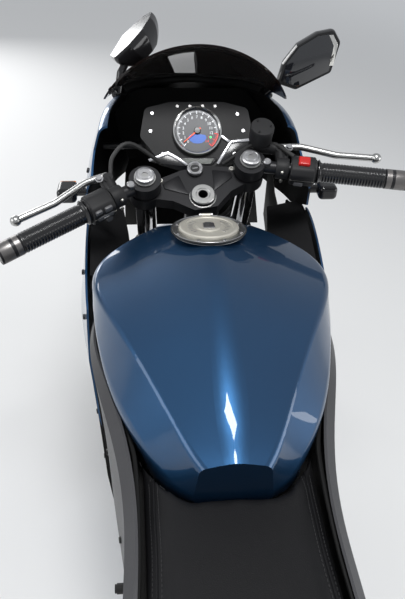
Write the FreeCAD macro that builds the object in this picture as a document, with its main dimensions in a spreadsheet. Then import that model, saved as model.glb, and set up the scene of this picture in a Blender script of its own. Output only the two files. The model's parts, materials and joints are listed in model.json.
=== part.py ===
import FreeCAD, Part
import math
import operator
import os
from types import SimpleNamespace

import Sketcher

# A light sport motorcycle with full fairing, parked on its side stand with the bars turned left.
# Millimetres. In the machine's own upright frame x points forward, y left and z up, the ground
# is z = 0 and the swing arm pivot and the front axle are placed from the middle of the machine.
# Steered pieces are drawn in the fork's frame: origin on the front axle, z up along the legs.
# At the end every piece is leaned over, steered and set down on both tyres.

doc = FreeCAD.newDocument("sport_bike")
sheet = doc.addObject("Spreadsheet::Sheet", "Sizes")

SIZES = (
    # stance: degrees, then the places of the axles and of the swing arm pivot
    ("lean_angle", 9.5),
    ("steer_angle", 11),
    ("rake", 25),
    ("fork_offset", 37.7),
    ("front_reach", 685),
    ("pivot_back", 150),
    ("pivot_height", 390),
    ("swingarm_length", 535),
    # clearances: a seated piece, a shaft in its bore, two moving pieces
    ("seat_gap", 0.3),
    ("shaft_gap", 0.05),
    ("moving_gap", 5),
    # front wheel
    ("front_tyre_radius", 293),
    ("front_tyre_half", 55),
    ("front_flange_half", 44),
    ("front_hub_half", 56),
    ("front_hub_radius", 46),
    ("front_axle_radius", 7.5),
    ("front_disc_radius", 148),
    # rear wheel
    ("rear_tyre_radius", 314),
    ("rear_tyre_half", 70),
    ("rear_flange_half", 57),
    ("rear_hub_half", 72),
    ("rear_hub_radius", 52),
    ("rear_axle_radius", 8.5),
    ("rear_disc_radius", 110),
    # rims and tyres of both wheels
    ("rim_seat_radius", 216),
    ("rim_flange_height", 9),
    ("rim_wall", 5),
    ("rim_well_depth", 16),
    ("web_half", 9),
    ("spoke_count", 5),
    ("tyre_wall", 8),
    ("disc_thickness", 4.5),
    ("disc_band", 32),
    ("disc_seat_width", 14),
    # chain drive
    ("chain_pitch", 15.875),
    ("chain_line", 85),
    ("chain_height", 12),
    ("front_teeth", 14),
    ("rear_teeth", 38),
    ("gearbox_ahead", 75),
    ("gearbox_height", 400),
    ("sprocket_thickness", 6),
    # fork
    ("leg_spread", 94),
    ("stanchion_radius", 18.5),
    ("slider_radius", 25),
    ("slider_top", 350),
    ("slider_foot", 24),
    ("cap_top", 728),
    ("cap_radius", 16),
    ("top_yoke_height", 666),
    ("top_yoke_thickness", 24),
    ("lower_yoke_height", 480),
    ("lower_yoke_thickness", 32),
    ("clamp_wall", 10),
    ("stem_radius", 15),
    ("stem_bore_radius", 8),
    ("stem_bore_depth", 60),
    ("stem_nut_radius", 22),
    ("stem_nut_height", 8),
    ("lock_ahead", 20),
    ("lock_radius", 13.5),
    ("head_tube_radius", 31),
    ("head_tube_low", 515),
    ("head_tube_high", 662),
    # bars: heights in the fork's frame, places along the bar from the leg's centre
    ("bar_clamp_height", 694),
    ("bar_clamp_depth", 24),
    ("bar_radius", 11),
    ("bar_sweep_back", 104),
    ("bar_spread", 254),
    ("bar_rise", 20),
    ("perch_start", 48),
    ("perch_length", 20),
    ("switch_start", 72),
    ("switch_length", 44),
    ("grip_start", 118),
    ("grip_length", 118),
    ("grip_radius", 16.5),
    ("weight_length", 38),
    ("weight_radius", 17),
    # filler
    ("filler_x", 245),
    ("filler_z", 909),
    ("filler_tilt", 10),
    ("filler_ring_radius", 57),
    ("filler_ring_height", 5),
    ("filler_lid_radius", 48),
    ("filler_lid_height", 6),
    ("filler_neck_radius", 26),
    ("filler_neck_depth", 40),
    ("hinge_pin_radius", 1.6),
    ("hinge_half", 7),
    ("hinge_ear", 4),
    # side stand
    ("stand_pivot_x", -62),
    ("stand_pivot_y", 118),
    ("stand_pivot_z", 262),
    ("stand_foot_x", -30),
    ("stand_foot_y", 236),
    ("stand_leg_radius", 10),
    ("stand_pad_radius", 26),
    ("stand_pad_thickness", 8),
    # sheet mouldings
    ("panel_wall", 3.5),
    ("screen_wall", 4),
)

for row, (name, value) in enumerate(SIZES, start=1):
    sheet.set(f"A{row}", name)
    sheet.set(f"B{row}", str(value))
    sheet.setAlias(f"B{row}", name)
doc.recompute()


class Size(float):
    """A number that remembers the sheet expression it was worked out from."""

    def __new__(cls, value, text=None):
        number = super().__new__(cls, value)
        number.text = text or repr(float(value))
        return number

    def __neg__(self):
        return Size(-float(self), f"-({self.text})")


def text_of(number):
    return getattr(number, "text", repr(float(number)))


def forward(sign, work):
    def method(left, right):
        return Size(work(float(left), float(right)), f"({text_of(left)} {sign} {text_of(right)})")
    return method


def backward(sign, work):
    def method(right, left):
        return Size(work(float(left), float(right)), f"({text_of(left)} {sign} {text_of(right)})")
    return method


for name, sign, work in (("add", "+", operator.add), ("sub", "-", operator.sub),
                         ("mul", "*", operator.mul), ("truediv", "/", operator.truediv)):
    setattr(Size, f"__{name}__", forward(sign, work))
    setattr(Size, f"__r{name}__", backward(sign, work))


def sine(angle):
    return Size(math.sin(math.radians(angle)), f"sin({text_of(angle)})")


def cosine(angle):
    return Size(math.cos(math.radians(angle)), f"cos({text_of(angle)})")


S = SimpleNamespace(**{name: Size(sheet.get(name), f"Sizes.{name}") for name, _ in SIZES})


def vec(x, y, z):
    return FreeCAD.Vector(float(x), float(y), float(z))


X = vec(1, 0, 0)
Y = vec(0, 1, 0)
Z = vec(0, 0, 1)
ORIGIN = vec(0, 0, 0)


def moved(x, y, z):
    return FreeCAD.Placement(vec(x, y, z), FreeCAD.Rotation())


def turned(axis, angle):
    return FreeCAD.Placement(ORIGIN, FreeCAD.Rotation(axis, float(angle)))


# Stance. The fork's frame is the front axle turned back by the rake; steering turns it about the
# stem, which stands behind the legs by the offset.
front_axle = vec(S.front_reach, 0, S.front_tyre_radius)
rear_axle = vec(-(S.pivot_back + S.swingarm_length), 0, S.rear_tyre_radius)
pivot = vec(-S.pivot_back, 0, S.pivot_height)
gearbox = vec(-S.gearbox_ahead, 0, S.gearbox_height)
LEAN = turned(X, -S.lean_angle)
FORK = moved(*front_axle).multiply(turned(Y, -S.rake))
STEER = moved(-S.fork_offset, 0, 0).multiply(turned(Z, S.steer_angle)).multiply(moved(S.fork_offset, 0, 0))


def crown_radius(radius, half):
    """Radius across the tread, from the tyre's crown down to its shoulder."""
    drop = half * 0.44
    reach = half * 0.95
    return (reach * reach + drop * drop) / (2 * drop)


def lowest(place, radius, half):
    """Height of a leaned tyre's lowest point, from its centre and its axle's direction."""
    axle = place.Rotation.multVec(Y)
    crown = crown_radius(radius, half)
    return place.Base.z - (radius - crown) * math.sqrt(1 - axle.z * axle.z) - crown


def settle():
    """Placement that leans the machine and pitches and lifts it until both tyres touch z = 0."""
    place = LEAN
    for _ in range(4):
        front = place.multiply(FORK).multiply(STEER)
        rear = place.multiply(moved(*rear_axle))
        front_low = lowest(front, float(S.front_tyre_radius), float(S.front_tyre_half))
        rear_low = lowest(rear, float(S.rear_tyre_radius), float(S.rear_tyre_half))
        pitch = math.degrees((front_low - rear_low) / (front_axle.x - rear_axle.x))
        place = turned(Y, pitch).multiply(moved(0, 0, -rear_low)).multiply(place)
    return place


CHASSIS = settle()
STEERED = CHASSIS.multiply(FORK).multiply(STEER)
REAR_WHEEL = CHASSIS.multiply(moved(*rear_axle))
PIECES = []


def piece(label, item, frame):
    """Name a finished sub-part and set it in its frame."""
    item.Label = label
    item.Placement = frame.multiply(item.Placement)
    PIECES.append(item)
    return item


def bind(item, **sizes):
    for field, number in sizes.items():
        setattr(item, field, float(number))
        if hasattr(number, "text"):
            item.setExpression(field, number.text)
    return item


def aimed(start, direction):
    """Placement at start with its z axis along direction."""
    return FreeCAD.Placement(start, FreeCAD.Rotation(Z, direction))


def cylinder(radius, length, start, direction=Z):
    item = bind(doc.addObject("Part::Cylinder", "cylinder"), Radius=radius, Height=length)
    item.Placement = aimed(start, direction)
    return item


def fuse(*items):
    item = doc.addObject("Part::MultiFuse", "fused")
    item.Shapes = list(items)
    return item


def cut(base, *tools):
    item = doc.addObject("Part::Cut", "cut")
    item.Base = base
    item.Tool = tools[0] if len(tools) == 1 else fuse(*tools)
    return item


def feature(shape):
    item = doc.addObject("Part::Feature", "shape")
    item.Shape = shape
    return item


def new_body(name):
    return doc.addObject("PartDesign::Body", name)


def flat(point):
    return vec(point[0], point[1], 0)


def outline(body, role, points, arcs=None):
    """Closed sketch on one of the body's origin planes. arcs maps the number of an edge to the
    point that the edge bulges through; each corner and each such point is bound to the sheet."""
    arcs = arcs or {}
    plane = [item for item in body.Origin.OriginFeatures if item.Role == role][0]
    sketch = body.newObject("Sketcher::SketchObject", "outline")
    sketch.AttachmentSupport = (plane, "")
    sketch.MapMode = "FlatFace"
    count = len(points)
    ends = []
    for number, start in enumerate(points):
        finish = points[(number + 1) % count]
        first, last = flat(start), flat(finish)
        if number in arcs:
            middle = flat(arcs[number])
            clockwise = (middle - first).cross(last - middle).z < 0
            sketch.addGeometry(Part.Arc(first, middle, last))
            ends.append((2, 1) if clockwise else (1, 2))
        else:
            sketch.addGeometry(Part.LineSegment(first, last))
            ends.append((1, 2))
    for number in range(count):
        following = (number + 1) % count
        joint = Sketcher.Constraint("Coincident", number, ends[number][1], following, ends[following][0])
        sketch.addConstraint(joint)

    def pin(geometry, place, values):
        for kind, number in (("DistanceX", values[0]), ("DistanceY", values[1])):
            index = sketch.addConstraint(Sketcher.Constraint(kind, -1, 1, geometry, place, float(number)))
            if hasattr(number, "text"):
                sketch.setExpression(f"Constraints[{index}]", number.text)

    for number, values in enumerate(points):
        pin(number, ends[number][0], values)
    for number, values in arcs.items():
        index = sketch.addGeometry(Part.Point(flat(values)), True)
        sketch.addConstraint(Sketcher.Constraint("PointOnObject", index, 1, number))
        pin(index, 1, values)
    return sketch


def revolve(body, points, arcs=None):
    """Turn a profile of (radius, place along y) about the body's y axis."""
    turning = body.newObject("PartDesign::Revolution", "turning")
    turning.Profile = outline(body, "XY_Plane", points, arcs)
    turning.ReferenceAxis = (turning.Profile[0], ["V_Axis"])
    turning.Angle = 360
    doc.recompute()
    return turning


def windows(body, points, arcs, count):
    """Cut one window right through along y, and repeat it round the body's y axis."""
    before = body.Shape.Volume
    window = body.newObject("PartDesign::Pocket", "window")
    window.Profile = outline(body, "XZ_Plane", points, arcs)
    window.Type = "ThroughAll"
    window.Midplane = True
    doc.recompute()
    if body.Shape.Volume >= before:
        raise ValueError(f"the window of {body.Name} cuts nothing")
    ring = body.newObject("PartDesign::PolarPattern", "ring")
    ring.Originals = [window]
    axis = [item for item in body.Origin.OriginFeatures if item.Role == "Y_Axis"][0]
    ring.Axis = (axis, [""])
    ring.Angle = 360
    ring.Occurrences = int(count)
    ring.setExpression("Occurrences", text_of(count))
    body.Tip = ring
    doc.recompute()
    return ring


def padded(name, role, points, length, arcs=None):
    """Plate from an outline, standing out evenly to both sides of its plane."""
    body = new_body(name)
    pad = body.newObject("PartDesign::Pad", "pad")
    pad.Profile = outline(body, role, points, arcs)
    pad.Midplane = True
    bind(pad, Length=length)
    doc.recompute()
    return body


def polar(radius, angle):
    return (radius * cosine(angle), radius * sine(angle))


def mirrored(shape):
    return shape.mirror(ORIGIN, Y)


def both(shape):
    return Part.makeCompound([shape, mirrored(shape)])


def joined(shapes):
    first, *others = shapes
    return first.fuse(others).removeSplitter() if others else first


def rounded(points, radius, closed):
    """Wire through the points whose corners are arcs of one radius, or of one radius each."""
    count = len(points)
    radii = radius if isinstance(radius, (list, tuple)) else [radius] * count
    stops = []
    arcs = []
    for number, corner in enumerate(points):
        if not closed and number in (0, count - 1):
            stops.append((corner, corner))
            arcs.append(None)
            continue
        back = (points[number - 1] - corner).normalize()
        ahead = (points[(number + 1) % count] - corner).normalize()
        half = back.getAngle(ahead) / 2
        run = radii[number] / math.tan(half)
        middle = (back + ahead).normalize()
        inner = corner + middle * (radii[number] / math.sin(half) - radii[number])
        stops.append((corner + back * run, corner + ahead * run))
        arcs.append(inner)
    edges = []
    for number in range(count):
        entry, leave = stops[number]
        if arcs[number] is not None:
            edges.append(Part.Arc(entry, arcs[number], leave).toShape())
        if closed or number < count - 1:
            edges.append(Part.LineSegment(leave, stops[(number + 1) % count][0]).toShape())
    return Part.Wire(edges)


def tube(points, radius, bend=30):
    """Round bar along straight runs joined by arcs."""
    path = rounded([vec(*point) for point in points], float(bend), closed=False)
    start = vec(*points[0])
    heading = vec(*points[1]) - start
    ring = Part.Wire(Part.makeCircle(float(radius), start, heading))
    return path.makePipeShell([ring], True, False)


def rod(start, finish, radius):
    first, last = vec(*start), vec(*finish)
    return Part.makeCylinder(float(radius), (last - first).Length, first, last - first)


def prism(points, low, high):
    """Solid between two places along y whose side view is the outline of (x, z) points."""
    corners = [vec(x, low, z) for x, z in points]
    return Part.Face(Part.makePolygon(corners + corners[:1])).extrude(vec(0, high - low, 0))


def box(low, high):
    low, high = vec(*low), vec(*high)
    size = high - low
    return Part.makeBox(size.x, size.y, size.z, low)


def block(low, high, radius):
    """Box with every edge rounded."""
    solid = box(low, high)
    return solid.makeFillet(radius, solid.Edges)


def whole(half):
    """Both sides of a half outline of (y, z) corners, top to bottom."""
    return list(half) + [(-y, z) for y, z in reversed(half) if y > 0]


def loop(x, half, radii):
    """Closed outline across the machine, each corner with its own radius."""
    sides = whole(half)
    both_radii = list(radii) + [radius for (y, _), radius in reversed(list(zip(half, radii))) if y > 0]
    return rounded([vec(x, y, z) for y, z in sides], [float(radius) for radius in both_radii], closed=True)


def inset(half, wall):
    """Half outline moved inwards by a wall."""
    corners = [vec(0, y, z) for y, z in whole(half)]
    result = []
    for number in range(len(half)):
        corner = corners[number]
        back = (corner - corners[number - 1]).normalize()
        ahead = (corners[(number + 1) % len(corners)] - corner).normalize()
        inward = vec(0, back.z + ahead.z, -back.y - ahead.y)
        shift = inward * (2 * wall / inward.dot(inward))
        result.append((corner.y + shift.y, corner.z + shift.z))
    return result


def skin(rows, radii, wall=0, ruled=False):
    """Loft through rows of (x, half outline), or the same loft drawn in by a wall."""
    loops = []
    for x, half in rows:
        line = inset(half, float(wall)) if wall else half
        loops.append(loop(x, line, [max(radius - wall, 1) for radius in radii]))
    return Part.makeLoft(loops, True, ruled)


# Wheels. Cast rims of five split spokes with hollow tyres, a brake disc on each, and the chain's
# sprocket on the rear wheel's left.
def make_rim(label, flange_half, hub_half, hub_radius, bore_radius, frame):
    body = new_body(label)
    flange_radius = S.rim_seat_radius + S.rim_flange_height
    well_radius = S.rim_seat_radius - S.rim_well_depth
    inner_seat = S.rim_seat_radius - S.rim_wall
    inner_well = well_radius - S.rim_wall
    bead_half = flange_half - S.rim_wall
    seat_half = bead_half - 15
    well_half = seat_half - 10
    right = [
        (bore_radius, -hub_half),
        (hub_radius, -hub_half),
        (hub_radius, -S.web_half),
        (inner_well, -S.web_half),
        (inner_well, -well_half),
        (inner_seat, -seat_half),
        (inner_seat, -flange_half),
        (flange_radius, -flange_half),
        (flange_radius, -bead_half),
        (S.rim_seat_radius, -bead_half),
        (S.rim_seat_radius, -seat_half),
        (well_radius, -well_half),
    ]
    left = [(radius, -place) for radius, place in reversed(right)]
    revolve(body, right + left)
    sector = 360 / S.spoke_count
    inner, outer = hub_radius + 8, inner_well - 6
    wide = [
        polar(inner, sector * 0.22),
        polar(outer, sector * 0.23),
        polar(outer, sector * 0.77),
        polar(inner, sector * 0.78),
    ]
    windows(body, wide, {1: polar(outer, sector * 0.5)}, S.spoke_count)
    fork = [
        polar(inner * 1.75, sector * -0.02),
        polar(outer, sector * -0.155),
        polar(outer, sector * 0.155),
        polar(inner * 1.75, sector * 0.02),
    ]
    windows(body, fork, {1: polar(outer, Size(0))}, S.spoke_count)
    return piece(label, body, frame)


def make_tyre(label, radius, half, flange_half, frame):
    body = new_body(label)
    bead = flange_half - S.rim_wall - S.seat_gap
    foot = S.rim_seat_radius + S.seat_gap
    shoulder_radius = radius - half * 0.44
    shoulder_half = half * 0.95
    side_radius = (foot + shoulder_radius) / 2 + 4
    inner_side = half - S.tyre_wall
    neck = S.rim_seat_radius + S.rim_flange_height + 6
    outer = [(foot, bead), (neck, bead), (shoulder_radius, shoulder_half), (shoulder_radius, -shoulder_half),
             (neck, -bead), (foot, -bead)]
    inner = [
        (foot, -(bead - S.tyre_wall)),
        (neck, -(bead - S.tyre_wall)),
        (shoulder_radius - S.tyre_wall, -(shoulder_half - S.tyre_wall)),
        (shoulder_radius - S.tyre_wall, shoulder_half - S.tyre_wall),
        (neck, bead - S.tyre_wall),
        (foot, bead - S.tyre_wall),
    ]
    arcs = {
        1: (side_radius, half),
        2: (radius, Size(0)),
        3: (side_radius, -half),
        7: (side_radius, -inner_side),
        8: (radius - S.tyre_wall, Size(0)),
        9: (side_radius, inner_side),
    }
    revolve(body, outer + inner, arcs)
    return piece(label, body, frame)


def make_disc(label, radius, hub_radius, seat, frame):
    """Brake disc or sprocket blank whose inner face lies at seat along the axle."""
    body = new_body(label)
    side = 1 if seat > 0 else -1
    outer_face = seat + side * S.disc_thickness
    bore = hub_radius - S.disc_seat_width
    revolve(body, [(bore, seat), (radius, seat), (radius, outer_face), (bore, outer_face)])
    sector = 360 / S.spoke_count
    low, high = hub_radius + 4, radius - S.disc_band
    opening = [
        polar(low, sector * 0.2),
        polar(high, sector * 0.12),
        polar(high, sector * 0.88),
        polar(low, sector * 0.8),
    ]
    windows(body, opening, {1: polar(high, sector * 0.5)}, S.spoke_count)
    return piece(label, body, frame)


make_rim("front_rim", S.front_flange_half, S.front_hub_half, S.front_hub_radius,
         S.front_axle_radius + S.shaft_gap, STEERED)
make_tyre("front_tyre", S.front_tyre_radius, S.front_tyre_half, S.front_flange_half, STEERED)
make_disc("front_disc", S.front_disc_radius, S.front_hub_radius, S.front_hub_half, STEERED)
make_rim("rear_rim", S.rear_flange_half, S.rear_hub_half, S.rear_hub_radius,
         S.rear_axle_radius + S.shaft_gap, REAR_WHEEL)
make_tyre("rear_tyre", S.rear_tyre_radius, S.rear_tyre_half, S.rear_flange_half, REAR_WHEEL)
make_disc("rear_disc", S.rear_disc_radius, S.rear_hub_radius, -S.rear_hub_half, REAR_WHEEL)


# Chain drive. The chain is one loop round both pitch circles; the rear sprocket's teeth end inside
# the loop, so the wheel turns without the chain.
def pitch_radius(teeth):
    return S.chain_pitch / (2 * math.sin(math.pi / teeth))


def belt_points(spread):
    """Side view of the chain's line, moved out by spread: arcs round both sprockets."""
    small = pitch_radius(S.front_teeth) + spread
    large = pitch_radius(S.rear_teeth) + spread
    line = gearbox - rear_axle
    tilt = math.atan2(line.z, line.x)
    lap = math.acos((large - small) / math.hypot(line.x, line.z))

    def spot(centre, radius, angle):
        return vec(centre.x + radius * math.cos(angle), 0, centre.z + radius * math.sin(angle))

    above, below = tilt + lap, tilt - lap
    return Part.Wire([
        Part.LineSegment(spot(rear_axle, large, above), spot(gearbox, small, above)).toShape(),
        Part.Arc(spot(gearbox, small, above), spot(gearbox, small, tilt),
                 spot(gearbox, small, below)).toShape(),
        Part.LineSegment(spot(gearbox, small, below), spot(rear_axle, large, below)).toShape(),
        Part.Arc(spot(rear_axle, large, below), spot(rear_axle, large, tilt + math.pi),
                 spot(rear_axle, large, above)).toShape(),
    ])


def belt(spread_in, spread_out, low, high):
    ring = Part.Face(belt_points(spread_out)).cut(Part.Face(belt_points(spread_in)))
    ring.translate(vec(0, low, 0))
    return ring.extrude(vec(0, high - low, 0))


plate_thickness = 3
link_half = S.chain_height / 2
strips = [belt(-link_half, link_half, S.chain_line + side - plate_thickness / 2,
               S.chain_line + side + plate_thickness / 2) for side in (-5.5, 5.5)]
core = belt(-link_half / 2, link_half / 2, S.chain_line - 4, S.chain_line + 4)
front_sprocket = Part.makeCylinder(pitch_radius(S.front_teeth) - link_half / 2, 6,
                                   gearbox + vec(0, S.chain_line - 3, 0), Y)
output_shaft = Part.makeCylinder(12, 26.7, gearbox + vec(0, S.chain_line - 18.7, 0), Y)
piece("drive_chain", feature(joined([core] + strips + [front_sprocket, output_shaft])), CHASSIS)


def make_sprocket():
    body = new_body("rear_sprocket")
    seat = S.chain_line - S.sprocket_thickness / 2
    tip = Size(pitch_radius(S.rear_teeth)) - S.chain_height / 2 - 1.5
    face = S.chain_line + S.sprocket_thickness / 2
    bore = S.rear_hub_radius - S.disc_seat_width
    boss = S.rear_hub_radius + 6
    revolve(body, [(bore, S.rear_hub_half), (boss, S.rear_hub_half), (boss, seat), (tip, seat),
                   (tip, face), (bore, face)])
    sector = 360 / S.spoke_count
    opening = [
        polar(boss + 3, sector * 0.25),
        polar(tip - 12, sector * 0.18),
        polar(tip - 12, sector * 0.82),
        polar(boss + 3, sector * 0.75),
    ]
    windows(body, opening, {1: polar(tip - 12, sector * 0.5)}, S.spoke_count)
    return piece("rear_sprocket", body, REAR_WHEEL)


make_sprocket()


# Fork. Legs with the front axle through their feet, two yokes on a hollow stem, clip-on bars.
def leg_solids(side):
    y = side * S.leg_spread
    foot = cylinder(S.slider_radius, S.slider_top + S.slider_foot, vec(0, y, -S.slider_foot), Z)
    tube_length = S.cap_top - 6 - S.slider_top
    stanchion = cylinder(S.stanchion_radius, tube_length, vec(0, y, S.slider_top), Z)
    cap = cylinder(S.cap_radius, Size(6), vec(0, y, S.cap_top - 6), Z)
    spacer_start = S.front_hub_half + 1
    spacer = cylinder(S.front_axle_radius + 6, S.leg_spread - S.slider_radius / 2 - spacer_start,
                      vec(0, side * spacer_start, 0), Y * side)
    return [foot, stanchion, cap, spacer]


axle_half = S.leg_spread + S.slider_radius + 4
front_axle_bar = cylinder(S.front_axle_radius, axle_half * 2, vec(0, -axle_half, 0), Y)
piece("fork_legs", fuse(*leg_solids(1), *leg_solids(-1), front_axle_bar), STEERED)


def yoke_plate(name, low, thickness, front, rear):
    """Plate across both legs with clamps round them; front and rear reach from the legs' line."""
    wide = S.leg_spread + 6
    corners = [
        (Size(front * 0.55), S.leg_spread * 0.75),
        (Size(front * 0.4), wide),
        (Size(-18), wide),
        (-S.fork_offset + 2, S.leg_spread * 0.55),
        (-S.fork_offset - rear, Size(20)),
        (-S.fork_offset - rear, Size(-20)),
        (-S.fork_offset + 2, S.leg_spread * -0.55),
        (Size(-18), -wide),
        (Size(front * 0.4), -wide),
        (Size(front * 0.55), S.leg_spread * -0.75),
        (Size(front), Size(-24)),
        (Size(front), Size(24)),
    ]
    plate = padded(name, "XY_Plane", corners, thickness)
    plate.Placement = moved(0, 0, low + thickness / 2)
    clamps = [cylinder(S.stanchion_radius + S.clamp_wall, thickness, vec(0, side * S.leg_spread, low))
              for side in (1, -1)]
    bores = [cylinder(S.stanchion_radius + S.shaft_gap, thickness + 20, vec(0, side * S.leg_spread, low - 10))
             for side in (1, -1)]
    return [plate] + clamps, bores


upper, upper_bores = yoke_plate("top_yoke_plate", S.top_yoke_height, S.top_yoke_thickness, 26, 24)
lower, lower_bores = yoke_plate("lower_yoke_plate", S.lower_yoke_height, S.lower_yoke_thickness, 20, 24)
stem_base = vec(-S.fork_offset, 0, S.lower_yoke_height)
stem_top = S.top_yoke_height + S.top_yoke_thickness + S.stem_nut_height
stem = cylinder(S.stem_radius, stem_top - S.lower_yoke_height, stem_base)
stem_nut = cylinder(S.stem_nut_radius, S.stem_nut_height,
                    vec(-S.fork_offset, 0, S.top_yoke_height + S.top_yoke_thickness))
stem_bore = cylinder(S.stem_bore_radius, S.stem_bore_depth + 10,
                     vec(-S.fork_offset, 0, stem_top - S.stem_bore_depth))
lock = cylinder(S.lock_radius, S.top_yoke_thickness + 30, vec(S.lock_ahead, 0, S.top_yoke_height - 24))
yokes = fuse(*upper, *lower, stem, stem_nut, lock)
piece("fork_yokes", cut(yokes, *upper_bores, *lower_bores, stem_bore), STEERED)

# Bars. Everything on a bar is placed along it from the leg's centre.
bar_line = vec(-S.bar_sweep_back, S.bar_spread, S.bar_rise)
bar_length = bar_line.Length
bar_start_height = S.bar_clamp_height + S.bar_clamp_depth / 2


def bar_point(side, along, ahead=0, above=0):
    """Point beside the bar: along it, ahead of it and above it."""
    spot = vec(ahead, S.leg_spread, bar_start_height + above) + bar_line * (along / bar_length)
    return vec(spot.x, side * spot.y, spot.z)


def bar_way(side):
    return vec(bar_line.x, side * bar_line.y, bar_line.z).normalize()


def bar_sleeve(side, start, length, radius):
    return cylinder(radius, length, bar_point(side, start), bar_way(side))


weight_start = S.grip_start + S.grip_length
bars = []
for side in (1, -1):
    clamp = cylinder(S.stanchion_radius + S.clamp_wall - 1, S.bar_clamp_depth,
                     vec(0, side * S.leg_spread, S.bar_clamp_height))
    arm = bar_sleeve(side, Size(18), weight_start - 18, S.bar_radius)
    weight = bar_sleeve(side, weight_start, S.weight_length, S.weight_radius)
    bore = cylinder(S.stanchion_radius + S.shaft_gap, S.bar_clamp_depth + 20,
                    vec(0, side * S.leg_spread, S.bar_clamp_height - 10))
    bars.append(cut(fuse(clamp, arm, weight), bore))
piece("clip_on_bars", fuse(*bars), STEERED)


def hollow_sleeve(side, start, length, radius):
    bore = bar_sleeve(side, start - 5, length + 10, S.bar_radius + S.shaft_gap)
    return cut(bar_sleeve(side, start, length, radius), bore)


grips = [fuse(hollow_sleeve(side, S.grip_start, Size(4), S.grip_radius + 5),
              hollow_sleeve(side, S.grip_start + 4, S.grip_length - 4 - S.seat_gap, S.grip_radius))
         for side in (1, -1)]
piece("grips", fuse(*grips), STEERED)


def control_solids(side):
    """Switch housing, lever perch and, on the right, the brake's master cylinder."""
    way = bar_way(side)
    shapes = [
        Part.makeCylinder(21, S.switch_length, bar_point(side, S.switch_start), way),
        Part.makeCylinder(17, S.perch_length, bar_point(side, S.perch_start), way),
        rod(bar_point(side, S.perch_start + 10, 4), bar_point(side, S.perch_start + 18, 40), 10),
        Part.makeCylinder(9, 18, bar_point(side, S.perch_start + 18, 40, -9), Z),
    ]
    if side < 0:
        body = rod(bar_point(side, S.perch_start + 14, 46), bar_point(side, S.perch_start - 26, 46), 11)
        shapes += [body, Part.makeCylinder(20, 32, bar_point(side, S.perch_start - 18, 48, 18), Z),
                   Part.makeCylinder(7, 24, bar_point(side, S.perch_start - 14, 47, 2), Z)]
    solid = joined(shapes)
    hole = Part.makeCylinder(S.bar_radius + S.shaft_gap, 120, bar_point(side, 20), way)
    return solid.cut(hole)


left_controls, right_controls = control_solids(1), control_solids(-1)
piece("hand_controls", feature(Part.makeCompound([left_controls, right_controls])), STEERED)


def lever_solid(side):
    stops = [
        bar_point(side, S.perch_start + 18, 42 + 8),
        bar_point(side, S.perch_start + 60, 56),
        bar_point(side, S.perch_start + 120, 44),
        bar_point(side, S.perch_start + 190, 46),
    ]
    blade = tube([tuple(stop) for stop in stops], 6, 40)
    ball = Part.makeSphere(9, stops[-1])
    return blade.fuse(ball).removeSplitter()


left_lever = lever_solid(1).cut(left_controls)
right_lever = lever_solid(-1).cut(right_controls)
piece("levers", feature(Part.makeCompound([left_lever, right_lever])), STEERED)

# Front fender: an arched strip over the tyre, carried on the sliders by two lugs a side.
fender_half = S.front_tyre_half + S.moving_gap + 3
FENDER = (
    # radius beyond the tyre's crown, place across: outer line from the left edge to the crown
    (-26, 1.0),
    (-6, 0.96),
    (8, 0.7),
    (13, 0.0),
)


def fender_profile(wall):
    left = [vec(S.front_tyre_radius + rise + wall, (fender_half + wall) * share, 0) for rise, share in FENDER]
    return left + [vec(point.x, -point.y, 0) for point in reversed(left[:-1])]


fender_outline = fender_profile(S.panel_wall) + list(reversed(fender_profile(0)))
fender_face = Part.Face(Part.makePolygon(fender_outline + fender_outline[:1]))
fender_sweep = 128
fender_shape = fender_face.revolve(ORIGIN, Y, -fender_sweep)
fender_shape.rotate(ORIGIN, Y, -28)
slider_inner = S.leg_spread - S.slider_radius
lug = box((-20, fender_half + S.panel_wall - 1, 240), (20, slider_inner + 4, 290))
leg_room = both(Part.makeCylinder(S.slider_radius + S.shaft_gap, 400, vec(0, S.leg_spread, 0)))
fender_solid = joined([fender_shape, lug, mirrored(lug)]).cut(leg_room)
piece("front_fender", feature(fender_solid), STEERED)

# Front caliper: a block astride the disc, bolted to lugs behind the left slider.
disc_middle = S.front_hub_half + S.disc_thickness / 2
caliper_block = block((-30, disc_middle - 26, 108), (30, disc_middle + 34, 176), 8)
disc_slot = Part.makeCylinder(S.front_disc_radius + 4, 9.5, vec(0, disc_middle - 4.75, 0), Y)
caliper = caliper_block.cut(disc_slot)
caliper.rotate(ORIGIN, Y, -38)
caliper_arm = prism([(-104, 84), (-74, 134), (-14, 170), (-14, 110)], disc_middle + 12, disc_middle + 26)
caliper = joined([caliper, caliper_arm])
caliper = caliper.cut(Part.makeCylinder(S.slider_radius + S.shaft_gap, 400, vec(0, S.leg_spread, -30)))
piece("front_caliper", feature(caliper), STEERED)

# Frame: steel tube spars from the head tube to the swing arm plates, engine hangers, and the rails
# that carry the seats. Tubes of one side; the other is their mirror image.
head = FORK.multVec(vec(-S.fork_offset, 0, S.top_yoke_height))
FRAME_TUBES = (
    # radius, bend, run of points from the steering head or plate backwards
    (16, 60, ((head.x + 24, 20, head.z - 62), (298, 108, 700), (60, 128, 650), (-128, 101, 560))),
    (13, 50, ((head.x + 48, 14, head.z - 104), (300, 74, 640), (232, 94, 520))),
    (11, 60, ((-110, 101, 600), (-300, 92, 702), (-600, 76, 768), (-880, 40, 818))),
    (9, 40, ((-172, 101, 480), (-330, 94, 600), (-540, 79, 752))),
)
PLATE = ((-96, 606), (-150, 612), (-196, 540), (-206, 330), (-176, 296), (-112, 296), (-100, 350),
         (-128, 390), (-122, 440), (-96, 500))
plate_low, plate_high = 103, 112
plates = prism(PLATE, plate_low, plate_high)
side_tubes = [tube(run, radius, bend) for radius, bend, run in FRAME_TUBES]
hanger = rod((232, 82, 520), (232, 100, 520), 15)
side_frame = [plates, hanger] + side_tubes
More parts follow.
